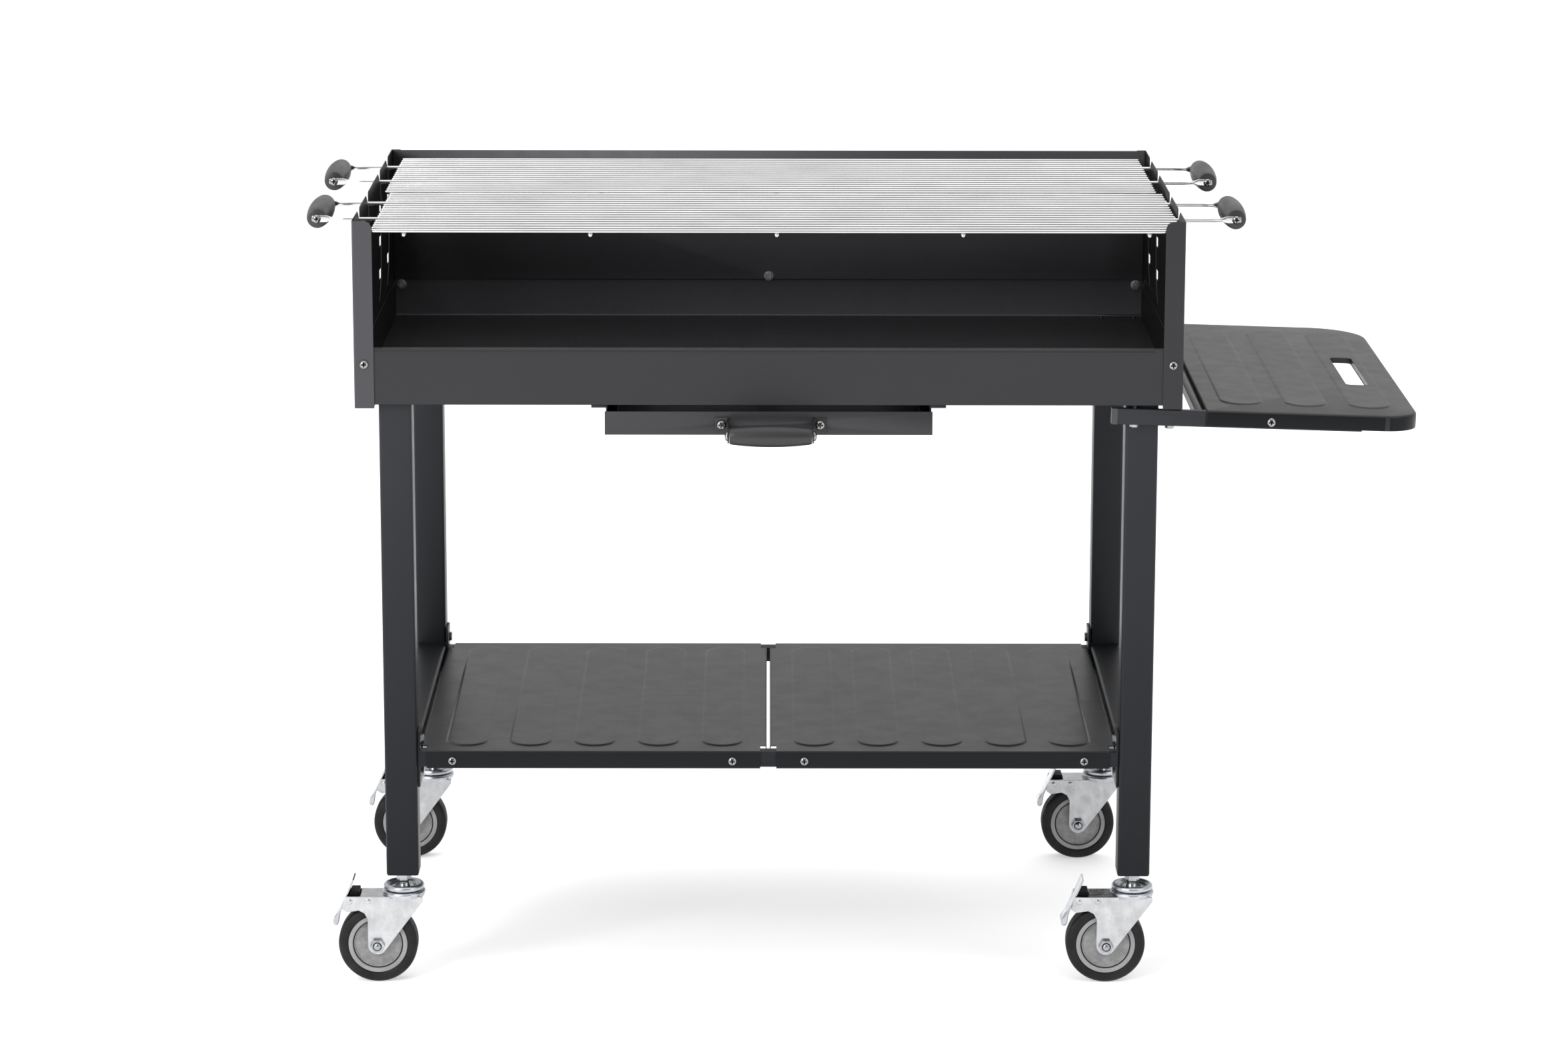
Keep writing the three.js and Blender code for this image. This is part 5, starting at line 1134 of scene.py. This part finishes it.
def castor_lever(bm):
    """A bent strip that thickens into a rolled toe, which stays half a millimetre off the tyre."""
    rings = []
    for i, (x, z, half, reach) in enumerate(LEVER):
        ahead, behind = LEVER[min(i + 1, len(LEVER) - 1)], LEVER[max(i - 1, 0)]
        forward = Vector((ahead[0] - behind[0], ahead[1] - behind[1])).normalized()
        across = Vector((-forward.y, forward.x))
        section = rectangle((-reach, reach), (-half, half), min(half * 0.8, 1.6), 4)
        rings.append(loop(bm, [(x + across.x * v, u, z + across.y * v) for u, v in section]))
    quad_strip(bm, rings)
    close_ends(bm, rings)


def castor_cam(bm):
    outline = [(-66.2, 119), (-55.6, 119), (-55.6, 105.3), (-63.4, 100.3), (-73.2, 100.3),
               (-76.4, 102.0), (-71, 110)]
    extrude(bm, round_corners(outline, 1.5, 4), "y", -13.6, 13.6)


# label, shape, material, body, slot, the node that it stands for, sharp angle, bevel
CASTOR_PIECES = (
    ("upper_race", castor_upper_race, RACE_STEEL, "cart", "zinc", "stem", 40, 0),
    ("stem_hardware", castor_stem_hardware, AXLE_STEEL, "cart", "zinc", None, 30, 0.3),
    ("stem_collar", castor_stem_collar, BLACK_AND_SHADE, "cart", "zinc", None, 30, 0),
    ("fork_plates", castor_fork, ZINC, "castor", "zinc", "fork", 30, 0.7),
    ("lower_race", castor_lower_race, RACE_STEEL, "castor", "zinc", None, 40, 0),
    ("axle_bolt", castor_axle, AXLE_STEEL, "castor", "zinc", "axle", 30, 0.25),
    ("nut_shade_ring", castor_nut_shade_ring, BLACK_AND_SHADE, "castor", "zinc", None, 40, 0),
    ("tyre_tread", castor_tyre, TYRE, "wheel", "tyre", "tyre", 50, 0),
    ("hub_ring", castor_hub_ring, HUB_RING, "wheel", "hub", None, 35, 0),
    ("hub_shade_ring", castor_hub_shade_ring, BLACK_AND_SHADE, "wheel", "hub", None, 35, 0),
    ("hub_disc", castor_hub_disc, HUB_DISC, "wheel", "hub", "hub", 35, 0),
    ("brake_lever", castor_lever, BRAKE_STEEL, "brake", "brake_steel", "brake_pedal", 50, 0),
    ("brake_cam", castor_cam, BLACK_AND_SHADE, "brake", "brake_steel", None, 30, 0.6),
)

for side_name, side in SIDES:
    for end_name, leg_y in ENDS:
        castor = f"castor_{end_name}_{side_name}"
        bodies = {"cart": "cart", "castor": castor, "wheel": f"{castor}_wheel",
                  "brake": f"{castor}_brake"}
        stand = Matrix.Translation((side * LEG_X, leg_y, 0))
        for label, shape, material, body, slot, node, sharp, bevel in CASTOR_PIECES:
            piece_bm = bmesh.new()
            shape(piece_bm)
            mesh_piece(f"{castor}_{label}", piece_bm, material, bodies[body],
                       [f"{castor}_{node}"] if node else (), turn=stand, sharp=sharp, bevel=bevel)


# ---------------- floor, light and camera

floor_bm = bmesh.new()
bmesh.ops.create_grid(floor_bm, x_segments=8, y_segments=8, size=40)
floor_mesh = bpy.data.meshes.new("studio_floor")
floor_bm.to_mesh(floor_mesh)
floor_bm.free()
floor_mesh.materials.append(FLOOR)
floor = add_object("studio_floor", floor_mesh)

# A bright studio that is darker on the camera's side, most of all low down
DARK_WAY = (0, -1, -0.35)
SKY_STOPS = ((0.3, grey(1.0, (1, 1, 1.01))), (0.85, grey(0.3, (1, 1, 1.01))))
SKY_STRENGTH = 0.8

world = bpy.data.worlds.new("studio")
sky = Nodes(world)
share = sky.node("VectorMath")
share.operation = "DOT_PRODUCT"
share.inputs[1].default_value = DARK_WAY
sky.link(sky.node("TexCoord").outputs["Generated"], share.inputs[0])
background = sky.tree.nodes["Background"]
background.inputs["Strength"].default_value = SKY_STRENGTH
sky.link(sky.ramp(share.outputs["Value"], SKY_STOPS), background.inputs["Color"])
bpy.context.scene.world = world
bpy.context.scene.view_settings.view_transform = "Standard"


def add_light(name, kind, place, target, energy):
    data = bpy.data.lights.new(name, kind)
    data.energy = energy
    light = add_object(name, data)
    light.location = place
    light.rotation_euler = (Vector(target) - Vector(place)).to_track_quat("-Z", "Y").to_euler()
    return data


def soft_light(name, place, watts):
    """A large panel that faces the middle of the cart."""
    data = add_light(name, "AREA", place, (0, 0, 0.6), watts)
    data.shape = "RECTANGLE"
    data.size, data.size_y = 2.2, 2.6


overhead = add_light("overhead", "SUN", (0, 0.6, 5), (0, 0, 0), 1.1)
overhead.angle = math.radians(70)
soft_light("front_left", (-3.2, -3.6, 2.6), 150)
soft_light("front_right", (3.4, -3.0, 2.2), 35)

# The photograph was taken from in front and a little above, with a long lens
CAMERA_PLACE = Vector((-1.64, -5614.2, 1854.7))
SENSOR_WIDTH = 36
FOCAL_PIXELS, PHOTO_WIDTH = 7000, 2351
yaw, pitch, roll = math.radians(0.211), math.radians(12.611), math.radians(0.112)

forward = Vector((math.sin(yaw) * math.cos(pitch), math.cos(yaw) * math.cos(pitch), -math.sin(pitch)))
right = Vector((math.cos(yaw), -math.sin(yaw), 0))
up = right.cross(forward)
rolled_right = right * math.cos(roll) + up * math.sin(roll)
rolled_up = up * math.cos(roll) - right * math.sin(roll)
camera_data = bpy.data.cameras.new("camera")
camera_data.sensor_fit = "HORIZONTAL"
camera_data.sensor_width = SENSOR_WIDTH
camera_data.lens = SENSOR_WIDTH * FOCAL_PIXELS / PHOTO_WIDTH
camera_data.clip_end = 200
camera = add_object("camera", camera_data)
axes = Matrix((rolled_right, rolled_up, -forward)).transposed().to_4x4()
camera.matrix_world = Matrix.Translation(TO_FRAME @ CAMERA_PLACE) @ axes
bpy.context.scene.camera = camera
